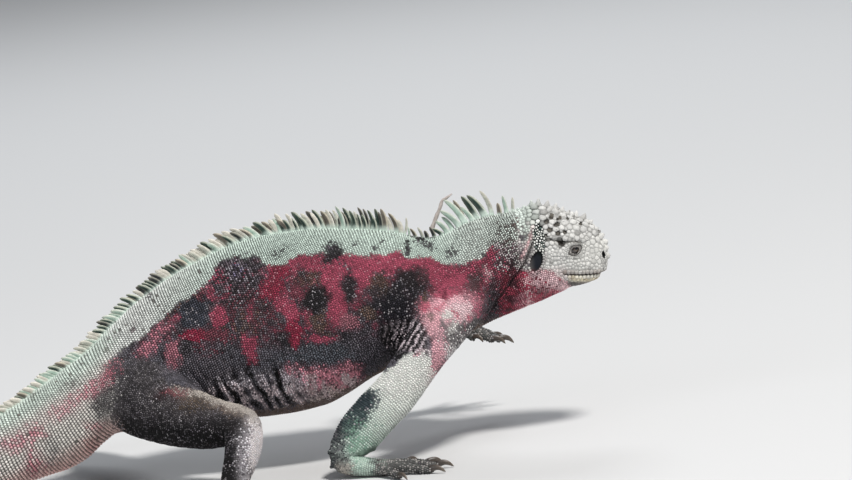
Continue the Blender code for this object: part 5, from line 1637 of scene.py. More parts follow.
                # the pale sleeve begins on a ragged line below the shoulder
                line = np.interp(x_, (380, 392, 402, 412, 424, 430, 437, 442, 450), (373, 364, 357, 354, 354, 358, 372, 392, 420)) + 2.5 * f + 2 * g
                c = layer(c, old, local(ramp(y_, line + 3, line - 3)))
                c = layer(c, srgb(214, 160, 168), local(0.75 * blob(433, 380, 6, 15) + 0.5 * blob(441, 362, 6, 14)))
                c = layer(c, srgb(228, 226, 222), local(0.5 * ramp(y_, 402, 380) * ramp(y_, line - 1, line + 4)))
                # painted shade down the rear side of the forearm: grey teal, then near-black navy lower down
                shade = ramp(x_ + 0.56 * (y_ - 388) + 4 * f, 391, 375) * ramp(y_, 384, 396)
                c = layer(c, srgb(100, 122, 120), local(0.80 * shade))
                c = layer(c, srgb(38, 48, 55), local(0.97 * shade * ramp(y_, 458, 440) * ramp(f + 0.4 * k + 0.8, 0.0, 0.5)))
                c = layer(c, srgb(132, 168, 148), local(0.6 * blob(358, 438, 15, 21)))
                # painted shade along the rear edge of the forearm and wrist
                c = layer(c, srgb(44, 46, 52), local(0.94 * ramp(x_ - 0.25 * (y_ - 430) + 3 * f, 350, 338)))
                c = layer(c, srgb(196, 206, 198), dither(0.30 * blob(346, 446, 18, 22), s3, each, 1.0))
                c = layer(c, srgb(40, 42, 42), 0.75 * np.exp(-(((x_ - 347 - 0.9 * (y_ - 499)) * 0.74) / 2.0) ** 2) * blob(347, 499, 9, 9))
                c = layer(c, srgb(206, 198, 188), local(0.7 * blob(346, 466, 8, 7)))
            else:
                c = layer(c, BLUSH, 0.5 * ramp(t, 0.5, 0.1))
                c = layer(c, ROSE, local(0.6 * ramp(t, 0.35, 0.05)))
            hand = np.maximum(ramp(t + 0.04 * f, 0.88, 0.97), ramp(d - toes, -0.3, 1.2) * ramp(t, 0.8, 0.9))
            c = layer(c, srgb(68, 65, 66), 0.92 * hand)
            c = layer(c, srgb(160, 156, 153), dither(0.38 * hand, s3, each, 1.0))
            c = layer(c, srgb(60, 57, 59), local(0.5 * hand * ramp(f, 0.0, 0.5)))
        else:
            c = np.broadcast_to(srgb(54, 50, 53), q.shape) * (1 + 0.25 * f[:, None] + 0.2 * k[:, None])
            c = layer(c, srgb(98, 93, 96), dither(0.36 + 0.35 * f, s3, each, 1.0))
            c = layer(c, srgb(30, 27, 29), local(0.7 * ramp(f + g, 0.0, 0.7)))
            c = layer(c, srgb(168, 162, 162), dither(0.07 + 0.14 * k, s1, each, 1.0))
            if limb == "right_hind":
                path = [(168, 384), (176, 387), (192, 390), (206, 393), (223, 397), (243, 404), (254, 411), (261, 422), (263, 436), (262, 480)]
                line = np.interp(x_, (100, 168, 176, 192, 206, 223, 243, 254, 261, 264), (380, 384, 387, 390, 393, 397, 404, 411, 422, 436))
                line_ = line_distance(x_, y_, path)[0]
                # a pale edge runs along the top of the thigh and down the knee: pale skin with a painted highlight
                c = layer(c, srgb(120, 106, 98), local(0.75 * ramp(y_, line - 2, line) * ramp(y_, line + 16, line + 4) * ramp(x_, 172, 186)))
                above_ = np.where(y_ < line, ramp(x_, 196, 216), 0.0)
                c = layer(c, srgb(188, 180, 172), local(0.88 * bell(line_ * (1 - 0.5 * above_), 4.2) * ramp(x_, 170, 180)))
                c = layer(c, srgb(92, 78, 64), local(0.6 * blob(196, 403, 17, 6)))
                c = layer(c, srgb(126, 70, 76), local(0.7 * blob(178, 390, 14, 5.5)))
                # across the shin, dark to pale: painted shade, near black, on its left side, and pale skin with painted
                # light on its front
                shin = ramp(y_, 408, 430)
                c = layer(c, srgb(16, 14, 17), local(0.95 * shin * ramp(x_, 247, 236)))
                c = layer(c, srgb(128, 122, 128), local(0.55 * shin * ramp(x_, 241, 250)))
                c = layer(c, srgb(226, 218, 218), local(shin * ramp(x_, 248, 260) * 0.9))
                c = layer(c, srgb(226, 222, 226), dither(0.34 * shin * ramp(x_, 236, 250), s3, each, 1.0))
                c = layer(c, srgb(40, 35, 36), local(0.7 * blob(238, 420, 9, 9)))
                c = layer(c, old, local(ramp(y_, line - 4, line - 8) * ramp(x_, 150, 175) * ramp(x_, 224, 204)))
                merge = ramp(t, 0.16, 0.02) * 0.9
                c = layer(c, old, local(merge))
            else:
                c = layer(c, srgb(186, 178, 162), local(0.6 * ramp(np.sin(ang), 0.55, 0.95) * ramp(t, 0.1, 0.3)))
            foot = np.maximum(ramp(t, 0.80, 0.90), ramp(d - toes, -0.5, 1.5))
            c = layer(c, srgb(88, 84, 83), 0.8 * foot)
            c = layer(c, srgb(150, 144, 138), dither(0.35 * foot, s3, each, 1.0))
        w = w if not each else np.clip((w - 0.2 - 0.6 * s1) * 3 + 0.5, 0, 1)
        col[near] = layer(old, c, w)
        soft[near] = soft[near] * (1 - w) + (0.75 if "hind" in limb else 0.48 + 0.2 * ramp(t, 0.70, 0.96)) * w
    # head
    head = ramp(p[:, 0], 60.0, 70.0)
    x, z = p[:, 0], p[:, 2]
    hcol = np.broadcast_to(srgb(197, 196, 193), col.shape) * (1 + 0.09 * fine[:, None] + 0.08 * grain[:, None])
    hcol = layer(hcol, srgb(204, 203, 198), 0.6 * ramp(x, 88, 96) * ramp(z, 134, 122))
    hcol = layer(hcol, srgb(172, 182, 174), 0.8 * ramp(x, 80, 68) * ramp(z, 124, 134))
    hcol = layer(hcol, srgb(110, 116, 110), pick(0.5 * ramp(x, 78, 70) * ramp(z, 128, 134) * ramp(streak + grain, 0.1, 0.7)))
    hcol = layer(hcol, srgb(150, 149, 146), dither(0.30 * ramp(fine, -0.1, 0.5), third, each, 1.0))
    hcol = layer(hcol, srgb(206, 184, 183), 0.6 * ramp(z, 115, 107) * ramp(x, 94, 82))
    edge = throat_edge(x) + 1.2 * fine
    jaw = ramp(z, edge + 2.0, edge - 2.0) * ramp(x, 92.5, 88.0)
    hcol = layer(hcol, srgb(158, 58, 78), pick(jaw))
    hcol = layer(hcol, WINE * 0.8, pick(0.7 * jaw * ramp(fine + streak, 0.0, 0.5)))
    # painted shadow under the jaw, darkest in a band just below the lower lip
    under_jaw_shadow = ramp(z, 100.8, 98.6) * ramp(x, 86, 90)
    hcol = layer(hcol, srgb(104, 97, 96), 0.85 * under_jaw_shadow)
    hcol = layer(hcol, srgb(40, 34, 36), 0.9 * np.exp(-(((x - 93.0) / 6.0) ** 2) - ((z - 99.6 + 0.10 * (x - 93)) / 1.7) ** 2))
    lip = line_distance(x, z, LOWER_LIP)[0]
    hcol = layer(hcol, srgb(226, 216, 188), 0.85 * bell(lip, 2.0) * ramp(x, 88.5, 92.0))
    hcol = layer(hcol, srgb(156, 138, 112), 0.4 * bell(lip, 2.0) * ramp(x, 88.5, 92.0) * ramp(fine, 0.0, 0.4))
    groove = line_distance(x, z, MOUTH)[0]
    above = z > np.interp(x, *np.array(MOUTH).T)
    hcol = layer(hcol, srgb(64, 50, 44), 0.90 * bell(groove - 0.1, 0.65))
    hcol = layer(hcol, srgb(112, 92, 78), (0.85 + 1.2 * grain).clip(0, 1.0) * bell(groove - 1.1, 0.8) * above * ramp(x, 84.0, 88.0))
    if each:
        hcol = layer(hcol, srgb(224, 190, 194) * (0.72 + 0.5 * seed2[:, None]), jaw * np.clip(0.10 + 0.85 * ramp(z + 5 * fine, edge - 17.0, edge - 5.0), 0, 1) * (seed > 0.10) * ramp(x, 60, 70))
    else:
        # the skin between the head's scales is darker, more on the crown: dark skin with painted shade in the gaps
        hcol = layer(hcol * (0.93 - 0.12 * ramp(z, 122.0, 130.0))[:, None], srgb(112, 34, 50), jaw * 0.9)
    flank = ramp(side_y, 6.0, 11.0)
    pit = pit_share(x, z)
    hcol = layer(hcol, srgb(70, 64, 55) * (1.1 if each else 0.6), 0.93 * ramp(pit, 1.10, 0.80) * ramp(side_y, 3.0, 7.0))
    hcol = layer(hcol, srgb(38, 37, 34), 0.96 * ramp(np.hypot((x - 87.8) / 2.5, (z - 128.0) / 3.4) + 0.2 * fine, 1.15, 0.75) * flank)
    # painted shade in the cheek fold and the brow crease
    d, share_ = line_distance(x, z, CHEEK_FOLD)
    hcol = layer(hcol, srgb(66, 62, 58), 0.85 * bell(d, 0.9) * flank * ramp(share_, 0, 0.1))
    d, share_ = line_distance(x, z, BROW)
    hcol = layer(hcol, srgb(72, 68, 62), 0.8 * bell(d, 0.85) * flank * ramp(share_, 0, 0.1) * ramp(share_, 1, 0.85))
    lid = lid_share(x, z)
    hcol = layer(hcol, srgb(184, 180, 175), 0.85 * ramp(lid, 1.95, 1.75) * flank)
    # painted shade in the lid's ring folds and, wider above the eye, in the groove round the lid
    rings = 0.5 - 0.5 * np.cos((lid - 1.08) * 2 * math.pi / 0.34)
    hcol = layer(hcol, srgb(80, 75, 72), 0.85 * rings**1.5 * ramp(lid, 1.75, 1.5) * flank)
    hcol = layer(hcol, srgb(34, 31, 30), 0.95 * bell((lid - 1.80) * 3.2, 0.60 + 0.40 * ramp(z, LID_AT[1] + 0.5, LID_AT[1] + 2.5)) * flank)
    hcol = layer(hcol, srgb(24, 22, 22), ramp(lid, 1.22, 1.05) * flank)
    # ear: a dark blue-grey membrane with painted shade deepening to near black round its sunken edge
    ear = ear_share(x, z)
    hcol = layer(hcol, srgb(26, 31, 41) * (1 - 0.35 * ear[:, None].clip(0, 1) ** 2), ramp(ear, 1.14, 1.0) * flank)
    hcol = layer(hcol, srgb(16, 16, 19), ramp(ear, 1.14, 1.02) * flank * ramp(ear, 0.72, 0.95))
    hcol = layer(hcol, srgb(126, 118, 118), 0.6 * bell((ear - 1.30) * 4, 1.0) * flank)
    # painted shade, near black, inside the nostril
    hole = nostril_share(p, side_y)
    near_nose = (np.hypot(x - NOSTRIL[0], side_y - NOSTRIL[1]) < 5) & (x > 105)
    hcol = layer(hcol, srgb(14, 12, 12), ramp(hole, 1.26, 1.08) * near_nose * ramp(x, NOSTRIL[0] + 2.0, NOSTRIL[0] + 1.2))
    col = layer(col, hcol, pick(head))
    # painted shade along the neck crease and the second crease
    d, share_ = line_distance(x, z, NECK_CREASE)
    nflank = ramp(side_y, 8.0, 14.0)
    col = layer(col, srgb(52, 42, 46), 0.82 * bell(d, 1.25) * nflank * ramp(share_, 0, 0.1) * ramp(share_, 1, 0.75))
    d, share_ = line_distance(x, z, SECOND_CREASE)
    col = layer(col, srgb(56, 42, 46), 0.7 * bell(d, 0.95) * nflank * ramp(share_, 0, 0.1) * ramp(share_, 1, 0.75))
    d, share_ = line_distance(x, z, NECK_RIDGE)
    col = layer(col, srgb(214, 168, 172), 0.75 * bell(d, 1.1) * nflank)
    if each:
        speck = ramp(np.hypot((x - 73.6) / 4.6, (z - 133) / 12.5), 1.1, 0.7) * nflank
        col = layer(col, srgb(240, 242, 236), speck * (third > 0.16) * 0.9)
        col = layer(col, srgb(64, 84, 80), speck * (third < 0.16) * 0.85)
    if not each:
        speck = ramp(np.hypot((x - 73.6) / 4.6, (z - 133) / 12.5), 1.1, 0.7) * nflank
        col = layer(col, srgb(44, 60, 58), 0.92 * speck)
    # single scales differ; the ground between them is darker: dark skin with painted shade in the gaps
    if each:
        head_part = ramp(x, 56.0, 64.0)
        light = col.mean(1)
        red = ramp(col[:, 0] / np.maximum(col[:, 1], 1e-3), 2.0, 3.6)
        dark = ramp(light, 0.14, 0.04) * (1 - red)
        arm_part = 0.6 * (np.minimum(reach["right_fore"], reach["left_fore"]) < body - 1.0)
        loud = (0.46 + 0.16 * dark - 0.06 * red) * (1 - np.maximum(np.maximum(0.66 * head_part, arm_part), 0.42 * ramp(light, 0.25, 0.45)))
        col = col * np.exp(1.6 * loud * (seed2 - 0.5) + 0.5 * loud * grain)[:, None]
        flecks = 0.22 + 0.78 * ramp(fbm(warp, 7.0, 61, 2), 0.1, 0.5)
        col = layer(col, srgb(186, 180, 184), dark * (third > 0.82) * flecks * (1 - head_part) * 0.75)
        col = layer(col, srgb(124, 118, 126), 0.5 * dark * ((third * 5.3) % 1.0 > 0.88) * (1 - head_part))
        col = layer(col, srgb(206, 150, 160), 0.5 * red * ((third * 9.1) % 1.0 > 0.93) * (1 - head_part))
        col = layer(col, srgb(70, 34, 44), 0.6 * red * ((third * 9.1) % 1.0 < 0.14) * (1 - head_part))
    else:
        red = ramp(col[:, 0] / np.maximum(col[:, 1], 1e-3), 1.9, 3.2) * ramp(x, 20.0, 0.0)
        low = np.maximum(ramp(py, 366, 376) * ramp(px, 290, 304) * ramp(px, 372, 360), 0.7 * ramp(py, 366, 376) * ramp(px, 214, 222) * ramp(px, 372, 360) * ramp(col[:, 1], 0.05, 0.2))
        col = col * (1 - 0.84 * soft * (1 - 0.36 * red) * (1 - 0.6 * low))[:, None]
    return np.clip(col, 0.004, 0.95)


# ---------------------------------------------------------------- crest
# Spines as they show from the side: foot across and down, tip across and down, width, colour, offset to the far side
SPINES = (
    (512.1, 210.7, 511.9, 197.1, 2.8, "pale", 0.3), (506.4, 213.6, 501.9, 196.4, 3.6, "mint", -0.2), (498.9, 215.0, 497.1, 203.6, 4.0, "grey", 0.5),
    (490.7, 214.3, 479.0, 189.0, 3.8, "pale", 0.2), (484.3, 215.7, 466.4, 194.3, 5.6, "green", 0.6), (475.7, 218.6, 460.7, 195.7, 5.6, "green", 0.9),
    (472.1, 221.4, 459.7, 207.1, 4.2, "mint", -0.6), (462.9, 222.0, 452.6, 198.6, 4.2, "grey", 1.2), (465.0, 225.7, 443.9, 202.1, 5.2, "mint", -0.5),
    (458.9, 227.9, 439.7, 211.9, 4.7, "mint", -0.7), (452.1, 231.4, 441.4, 217.9, 3.8, "mint", 0.2), (447.1, 235.0, 435.3, 222.9, 4.2, "mint", -0.5),
    (442.1, 235.7, 431.4, 229.6, 3.6, "green", 0.3), (433.6, 232.1, 428.6, 221.4, 3.4, "dark", 0.2), (426.4, 232.1, 423.6, 224.3, 3.2, "dark", -0.2),
    (421.4, 230.7, 416.9, 220.0, 2.6, "pale", 0.3), (414.3, 229.3, 409.3, 220.7, 2.8, "grey", 0.0), (403.6, 230.7, 406.0, 213.6, 2.0, "pale", 0.4),
    (397.1, 233.6, 388.6, 214.3, 4.2, "grey", 0.0), (384.3, 233.6, 381.0, 211.4, 4.2, "grey", -0.3), (377.1, 232.9, 375.0, 211.4, 3.8, "green", 0.3),
    (372.1, 230.7, 367.6, 210.7, 3.3, "green", -0.2), (367.1, 230.0, 362.9, 209.3, 2.8, "dark", 0.5), (362.9, 231.4, 357.9, 209.3, 3.3, "dark", -0.1),
    (357.9, 231.4, 353.6, 213.6, 2.8, "pale", 0.2), (354.3, 231.4, 349.3, 212.1, 3.3, "green", -0.3), (348.6, 230.7, 342.9, 209.3, 3.8, "green", 0.3),
    (342.9, 232.9, 335.7, 210.0, 3.8, "mint", 0.0), (338.6, 232.9, 332.9, 213.6, 2.8, "pale", 0.6), (332.9, 231.4, 325.7, 212.1, 3.3, "white", -0.2),
    (328.6, 232.1, 320.7, 214.3, 4.7, "grey", 0.3), (322.1, 232.9, 312.1, 213.6, 4.7, "green", -0.3), (316.4, 232.1, 305.7, 214.3, 4.7, "dark", 0.2),
    (311.4, 232.9, 300.7, 217.1, 3.8, "pale", -0.2), (302.9, 233.6, 291.4, 215.7, 5.0, "green", 0.2), (292.9, 235.0, 285.7, 217.1, 3.8, "white", 0.0),
    (287.1, 235.0, 277.1, 222.9, 4.5, "grey", -0.3), (282.9, 233.6, 274.3, 214.3, 4.5, "white", 0.4), (277.1, 235.0, 267.9, 221.4, 4.5, "white", -0.2),
    (272.9, 237.9, 261.4, 225.7, 4.2, "grey", 0.2), (267.1, 239.3, 252.9, 226.4, 5.0, "green", -0.2), (257.1, 240.7, 242.9, 230.7, 4.5, "mint", 0.2),
    (247.1, 242.1, 229.3, 231.4, 4.2, "white", -0.1), (237.1, 247.9, 221.4, 236.4, 4.5, "white", 0.2), (231.4, 250.0, 212.9, 238.6, 4.7, "grey", -0.2),
    (221.4, 252.1, 207.9, 242.1, 4.2, "white", 0.1), (214.3, 256.4, 200.0, 246.4, 5.0, "green", 0.0),
)
# face, head-side edge (pale, with a painted highlight), tip
TONES = {
    "mint": (srgb(150, 172, 158), srgb(206, 210, 198), srgb(190, 190, 178)), "pale": (srgb(172, 174, 162), srgb(210, 206, 194), srgb(196, 190, 176)),
    "white": (srgb(188, 184, 172), srgb(218, 213, 202), srgb(210, 205, 194)), "green": (srgb(28, 50, 43), srgb(190, 194, 178), srgb(112, 118, 104)),
    "dark": (srgb(26, 32, 32), srgb(160, 158, 146), srgb(120, 114, 104)), "grey": (srgb(86, 80, 72), srgb(198, 190, 172), srgb(146, 138, 124)),
}
# Along the tail the spines come in pale and dark groups: reach across the side view
DARK_GROUPS = ((171, 190), (146, 166), (125, 140), (104, 115), (60, 68), (22, 30))


def from_view(across, down):
    """Place along the body and height, for the middle plane, of a place in the side view."""
    dx, dy = across - 426, 240 - down
    c, s = math.cos(ROLL), math.sin(ROLL)
    return 0.66 * (dx * c + dy * s), 0.66 * (-dx * s + dy * c) / math.cos(LEAN)


def spine(foot, tip, side, width, twist, bulge, tone, rng, rings=11, sides=12):
    """One leathery spine: a flattened blade with a blunt tip, bowed towards the head."""
    chord = tip - foot
    length = np.linalg.norm(chord)
    way = chord / length
    fore = unit(np.cross(side, way))
    if fore[0] < 0:
        fore = -fore
    foot = foot - way * 1.5
    bend = (foot + tip) / 2 + fore * bulge * length
    face, edge_col, tip_col = TONES[tone]
    face = face * rng.uniform(0.86, 1.14)
    edge_col, tip_col = edge_col * rng.uniform(0.9, 1.05), tip_col * rng.uniform(0.9, 1.05)
    verts, shade = [], []
    for m in range(rings):
        t = m / (rings - 1)
        t = t ** 0.85
        centre = foot * (1 - t) ** 2 + 2 * bend * t * (1 - t) + tip * t * t
        go = unit(2 * (bend - foot) * (1 - t) + 2 * (tip - bend) * t)
        f0 = unit(np.cross(side, go))
        if f0 @ fore < 0:
            f0 = -f0
        turn = twist * t
        f = f0 * math.cos(turn) + side * math.sin(turn)
        s = side * math.cos(turn) - f0 * math.sin(turn)
        wide = width / 2 * max((1 - min(t, 1.0) ** 6.5), 0.0) ** 0.50 * (1 - 0.24 * t) * (1 + 0.12 * (1 - t) ** 6)
        wide = max(wide, 0.24)
        thick = max(0.42 * wide * (1 - 0.1 * t), 0.12) * (0.94 if length > 6 else 1.3)
        for k in range(sides):
            b = 2 * math.pi * (k + 0.5) / sides
            c_, s_ = math.cos(b), math.sin(b)
            # a shallow groove runs up each face
            flat = math.copysign(abs(s_) ** 1.3, s_) * (1 - 0.20 * math.exp(-(((c_ - 0.15) / 0.3) ** 2)))
            verts.append(centre + f * wide * c_ + s * thick * flat)
            root = math.exp(-((t / 0.27) ** 4))
            end = max(0.0, (t - 0.72) / 0.28)
            rim = min(1.0, max(0.0, (c_ - 0.30) / 0.20))
            back_rim = min(1.0, max(0.0, (-c_ - 0.66) / 0.15))
            mottle = 1 + 0.14 * math.sin(t * 19 + 5 * twist + 3 * c_) * math.sin(t * 7 + 11 * bulge)
            col = face * mottle
            # lighter along both edges, most on the head side: pale edges with a painted highlight
            col = col * (1 - 0.30 * back_rim) + edge_col * 0.30 * back_rim
            col = col * (1 - 0.88 * rim) + edge_col * 0.88 * rim
            col = col * (1 - 0.55 * end) + tip_col * 0.55 * end
            col = col * (1 - 0.95 * root) + np.array(MINT) * 1.02 * 0.95 * root
            shade.append(col)
    faces = []
    for m in range(rings - 1):
        for k in range(sides):
            j = (k + 1) % sides
            a, b, c, d = m * sides + k, m * sides + j, (m + 1) * sides + j, (m + 1) * sides + k
            faces += [(a, b, c), (a, c, d)]
    top = (rings - 1) * sides
    for k in range(1, sides - 1):
        faces += [(0, k + 1, k), (top, top + k, top + k + 1)]
    verts, faces = np.array(verts), np.array(faces)
    p = verts[faces]
    if (np.cross(p[:, 0], p[:, 1]) * p[:, 2]).sum() < 0:
        faces = faces[:, ::-1]
    return verts, faces, np.clip(np.array(shade), 0.004, 0.95)


def crest(mats):
    made = {"crest_back": [], "crest_tail": []}
    rng = np.random.default_rng(7)

    def grow(x, off, chord, width, tone, bulge, turn, twist, rings, sides):
        yc, top = section([x])[0][:2]
        y0, y1 = section([x + 2.5])[0][0], section([x - 2.5])[0][0]
        back = unit(np.array([-5.0, y1 - y0, 0]))
        side = unit(np.cross([0, 0, 1.0], back))
        side = unit(side + turn * back)
        foot = onto(skin_field, np.array([[x, yc + off, top]]), 2)[0]
        # chord is measured in the side view; it swings with the body's own direction
        reach = back * -chord[0] + np.array([0, 0, chord[1]]) + np.array([0, 1.0, 0]) * rng.normal(0, 0.06) * abs(chord[1])
        v, f, c = spine(foot, foot + reach, side, width, twist, bulge, tone, rng, rings, sides)
        group = "crest_back" if x > -216 else "crest_tail"
        u = (x + 728) / 790 if x < -216 else (x + 216) / 290
        made[group].append((v, f, c, np.clip(u, 0, 1) * 0.96 + 0.02, float(np.linalg.norm(chord))))

    last, before = 0.0, None
    for ax, ad, bx, bd, width, tone, off in SPINES:
        (x0, z0), (x1, z1) = from_view(ax, ad), from_view(bx, bd)
        bulge = (0.18 if ax < 430 else 0.13) + 0.08 * rng.random() if ax < 500 else 0.05
        width = width * (0.92 if ax > 430 else 1.0)
        grow(x0, off, (x1 - x0, z1 - z0), width, tone, bulge, rng.normal(0, 0.16), rng.normal(0, 0.18), 12, 12)
        # smaller spines fill the row between two large ones
        if before is not None and ax < 410:
            gap = before[0] - x0
            if gap > 2.6:
                k = 0.5 + 0.12 * rng.uniform(-1, 1)
                xm = before[0] * (1 - k) + x0 * k
                cx, cz = (before[1] + x1 - x0) / 2, (before[2] + z1 - z0) / 2
                share = rng.uniform(0.68, 0.92)
                grow(xm, 0.7 * (1 if rng.random() < 0.5 else -1), (cx * share, cz * share), width * 0.86, rng.choice(("green", "dark", "white", "green", "grey", "mint")),
                     bulge, rng.normal(0, 0.16), rng.normal(0, 0.18), 10, 10)
        before = (x0, x1 - x0, z1 - z0)
        last = x0
    x, count = last - 3.0, 0
    while x > -716:
        yc, top = section([x])[0][:2]
        slope = (section([x + 6])[0][1] - section([x - 6])[0][1]) / 12
        length = float(np.interp(x, (-728, -640, -520, -400, -300, -240, -200, -170), (1.6, 3.2, 4.6, 5.6, 7.4, 8.9, 9.7, 10.2))) * rng.uniform(0.86, 1.1)
        lean = math.radians(float(np.interp(x, (-728, -400, -240, -160), (46, 42, 34, 24))) + rng.normal(0, 4)) + math.atan(slope)
        across, down = in_photo(np.array([[x, yc, top]]), np.array([yc]))
        dark = any(a < across[0] < b for a, b in DARK_GROUPS) or (x < -330 and 0.5 + 0.5 * math.cos(2 * math.pi * x / 46.0) > 0.62)
        pick = rng.random()
        tone = ("green" if pick < 0.55 else "grey" if pick < 0.85 else "dark") if dark else ("white" if pick < 0.45 else "mint" if pick < 0.80 else "pale")
        width = min(3.9, 0.50 * length + 0.7) * rng.uniform(0.88, 1.12)
        size = (9, 10) if length > 6 else (7, 8)
        grow(x, rng.normal(0, 0.2), (-length * math.sin(lean), length * math.cos(lean)), width, tone, rng.uniform(0.14, 0.22), rng.normal(0, 0.14), rng.normal(0, 0.15), *size)
        x -= float(np.interp(x, (-728, -560, -400, -240, -160), (3.4, 3.3, 2.8, 2.3, 2.4))) * rng.uniform(0.86, 1.14)
        count += 1
    # one old spine is worn to a bare, crooked stick
    yc = section([8.0])[0][0]
    path = np.array([(from_view(a, d)[0], yc + 1.4 + 0.1 * k, from_view(a, d)[1] + 137.3 - (yc + 1.4) * math.tan(LEAN)) for k, (a, d) in enumerate(
        ((431, 231), (434, 223), (437, 215), (440, 208), (442, 201), (445, 199), (452, 194)))], float)
    q = spline(path, 2)
    way = unit(np.gradient(q, axis=0))
    verts, faces, cols, sides = [], [], [], 8
    for m, (c0, w0) in enumerate(zip(q, way)):
        t = m / (len(q) - 1)
        u0 = unit(np.cross(w0, [0, 1.0, 0]))
        v0 = np.cross(w0, u0)
        r = (1.45 - 0.62 * t) * (1 + 0.14 * math.sin(m * 2.1)) * (0.5 if m == len(q) - 1 else 1)
        for k in range(sides):
            b = 2 * math.pi * k / sides
            verts.append(c0 + u0 * r * math.cos(b) + v0 * r * 0.62 * math.sin(b))
            cols.append(srgb(182, 172, 166) * (0.8 + 0.3 * math.sin(m * 1.7 + k) ** 2))
    for m in range(len(q) - 1):
        for k in range(sides):
            j = (k + 1) % sides
            a, b, c, d = m * sides + k, m * sides + j, (m + 1) * sides + j, (m + 1) * sides + k
            faces += [(a, b, c), (a, c, d)]
    top = (len(q) - 1) * sides
    for k in range(1, sides - 1):
        faces += [(0, k + 1, k), (top, top + k, top + k + 1)]
    made["crest_back"].append((np.array(verts), np.array(faces), np.array(cols), 0.78, 20.0))
    for name, parts in made.items():
        verts, faces, cols, uvs, n = [], [], [], [], 0
        for v, f, c, u, length in parts:
            verts.append(v)
            faces.append(f + n)
            cols.append(c)
            t = (v - v.mean(0)) / max(length, 1)
            uvs.append(np.stack([u + t[:, 0] * 0.0012, 0.5 + t[:, 2] * 0.003], 1))
            n += len(v)
        verts, faces = np.concatenate(verts), np.concatenate(faces)
        verts[:, 2] = np.maximum(verts[:, 2], 0)
        print(name, "spines", len(parts), "triangles", len(faces), flush=True)
        mesh_object(name, verts, faces, np.concatenate(uvs), np.concatenate(cols), mats["spine"], "body_scales" if name == "crest_back" else "tail_scales")


# ---------------------------------------------------------------- claws and eyes
def claw(plan, lifted):
    """A laterally flattened, hooked claw, with the scale collar at its root."""
    go, up, across, end, broad, size = (plan[k] for k in ("go", "up", "across", "end", "broad", "claw"))
    verts, cols = [], []
    rings, sides = 12, 12
    for m in range(rings):
        t = m / (rings - 1)
        sweep = math.radians(66 * t)
        c = end + go * (GAP + size * t * 0.99 - 1.4 * (1 - t) ** 6) + up * (2.7 + 1.6 * math.sin(math.pi * t) - 1.9 * t * t)
        tall = up * math.cos(sweep) + go * math.sin(sweep)
        r = broad * 0.78 * (1 - t) ** 0.62 * (1.0 if t < 1 else 0) + 0.16
        for k in range(sides):
            b = 2 * math.pi * k / sides
            # narrower below, so that the underside shows a groove
            w = 0.66 - 0.12 * math.sin(b)
            verts.append(c + across * r * w * math.cos(b) + tall * r * 0.98 * math.sin(b))
            col = srgb(52, 46, 44) * (1 - t) + srgb(98, 88, 78) * t
            if math.sin(b) > 0.5:
                col = col * 1.35
            cols.append(col)
    faces = []
    for m in range(rings - 1):
        for k in range(sides):
            j = (k + 1) % sides
            a, b, c, d = m * sides + k, m * sides + j, (m + 1) * sides + j, (m + 1) * sides + k
            faces += [(a, b, c), (a, c, d)]
    top = (rings - 1) * sides
    for k in range(1, sides - 1):
        faces += [(0, k + 1, k), (top, top + k, top + k + 1)]
    verts = np.array(verts)
    verts[:, 2] = np.maximum(verts[:, 2], 0.05)
    return verts, np.array(faces), np.array(cols)


def claws(mats):
    for limb, plans in CLAW_PLANS.items():
        word = "hand" if "fore" in limb else "foot"
        for n, plan in enumerate(plans, 1):
            v, f, c = claw(plan, False)
            node = f"{limb}_{word}_claw_{n}"
            t = np.repeat(np.linspace(0, 1, 12), 12)
            k = np.tile(np.arange(12) / 12, 12)
            obj = mesh_object(f"claw_{limb}_{n}", v, f, np.stack([0.05 + 0.9 * t, 0.05 + 0.9 * k], 1), c, mats["claw"], "claw_horn")
            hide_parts(node)


def eyes(mats):
    for side, node in ((-1, "eye_right"), (1, "eye_left")):
        low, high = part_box(node)
        centre = (low + high) / 2
        bm = bmesh.new()
        bmesh.ops.create_uvsphere(bm, u_segments=64, v_segments=48, radius=EYE_R * MM)
        # the pole that carries the iris turns outwards and a little forward and up
        look = Vector((0.24, side * 0.955, 0.16)).normalized()
        turn = Vector((0, 0, 1)).rotation_difference(look).to_matrix().to_4x4()
        col = bm.verts.layers.float_color.new("marking")
        for v in bm.verts:
            a = math.degrees(math.acos(max(-1.0, min(1.0, v.co.z / (EYE_R * MM)))))
            spin = math.atan2(v.co.y, v.co.x)
            if a < 9.5:
                c = srgb(5, 5, 6)
            elif a < 27:
                k = (a - 9.5) / 17.5
                c = srgb(86, 72, 58) * (1 - k) + srgb(40, 32, 28) * k
                c = c * (0.72 + 0.28 * math.sin(spin * 23 + 2 * math.sin(spin * 5)))
                if k < 0.16:
                    c = srgb(92, 80, 66)
            elif a < 31:
                c = srgb(16, 12, 12)
            else:
                c = srgb(58, 44, 40)
            v[col] = (*c, 1.0)
            if a < 28:  # the clear front stands out a little
                v.co *= 1 + 0.035 * math.cos(math.radians(a / 28 * 90))
        bmesh.ops.transform(bm, matrix=Matrix.Translation(centre) @ turn, verts=bm.verts)
        mesh = bpy.data.meshes.new(node)
        bm.to_mesh(mesh)
        bm.free()
        mesh.shade_smooth()
        mesh.materials.append(mats["eye"])
        obj = bpy.data.objects.new("eyeball_" + node[4:], mesh)
        bpy.context.scene.collection.objects.link(obj)
        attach(obj, "root")
        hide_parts(node)


# ---------------------------------------------------------------- materials
def new_material(name):
    mat = bpy.data.materials.new(name)
    mat.use_nodes = True
    tree = mat.node_tree
    return mat, tree, tree.nodes["Principled BSDF"]


def add(tree, kind, **inputs):
    node = tree.nodes.new(kind)
    for k, v in inputs.items():
        node.inputs[k.replace("_", " ")].default_value = v
    return node


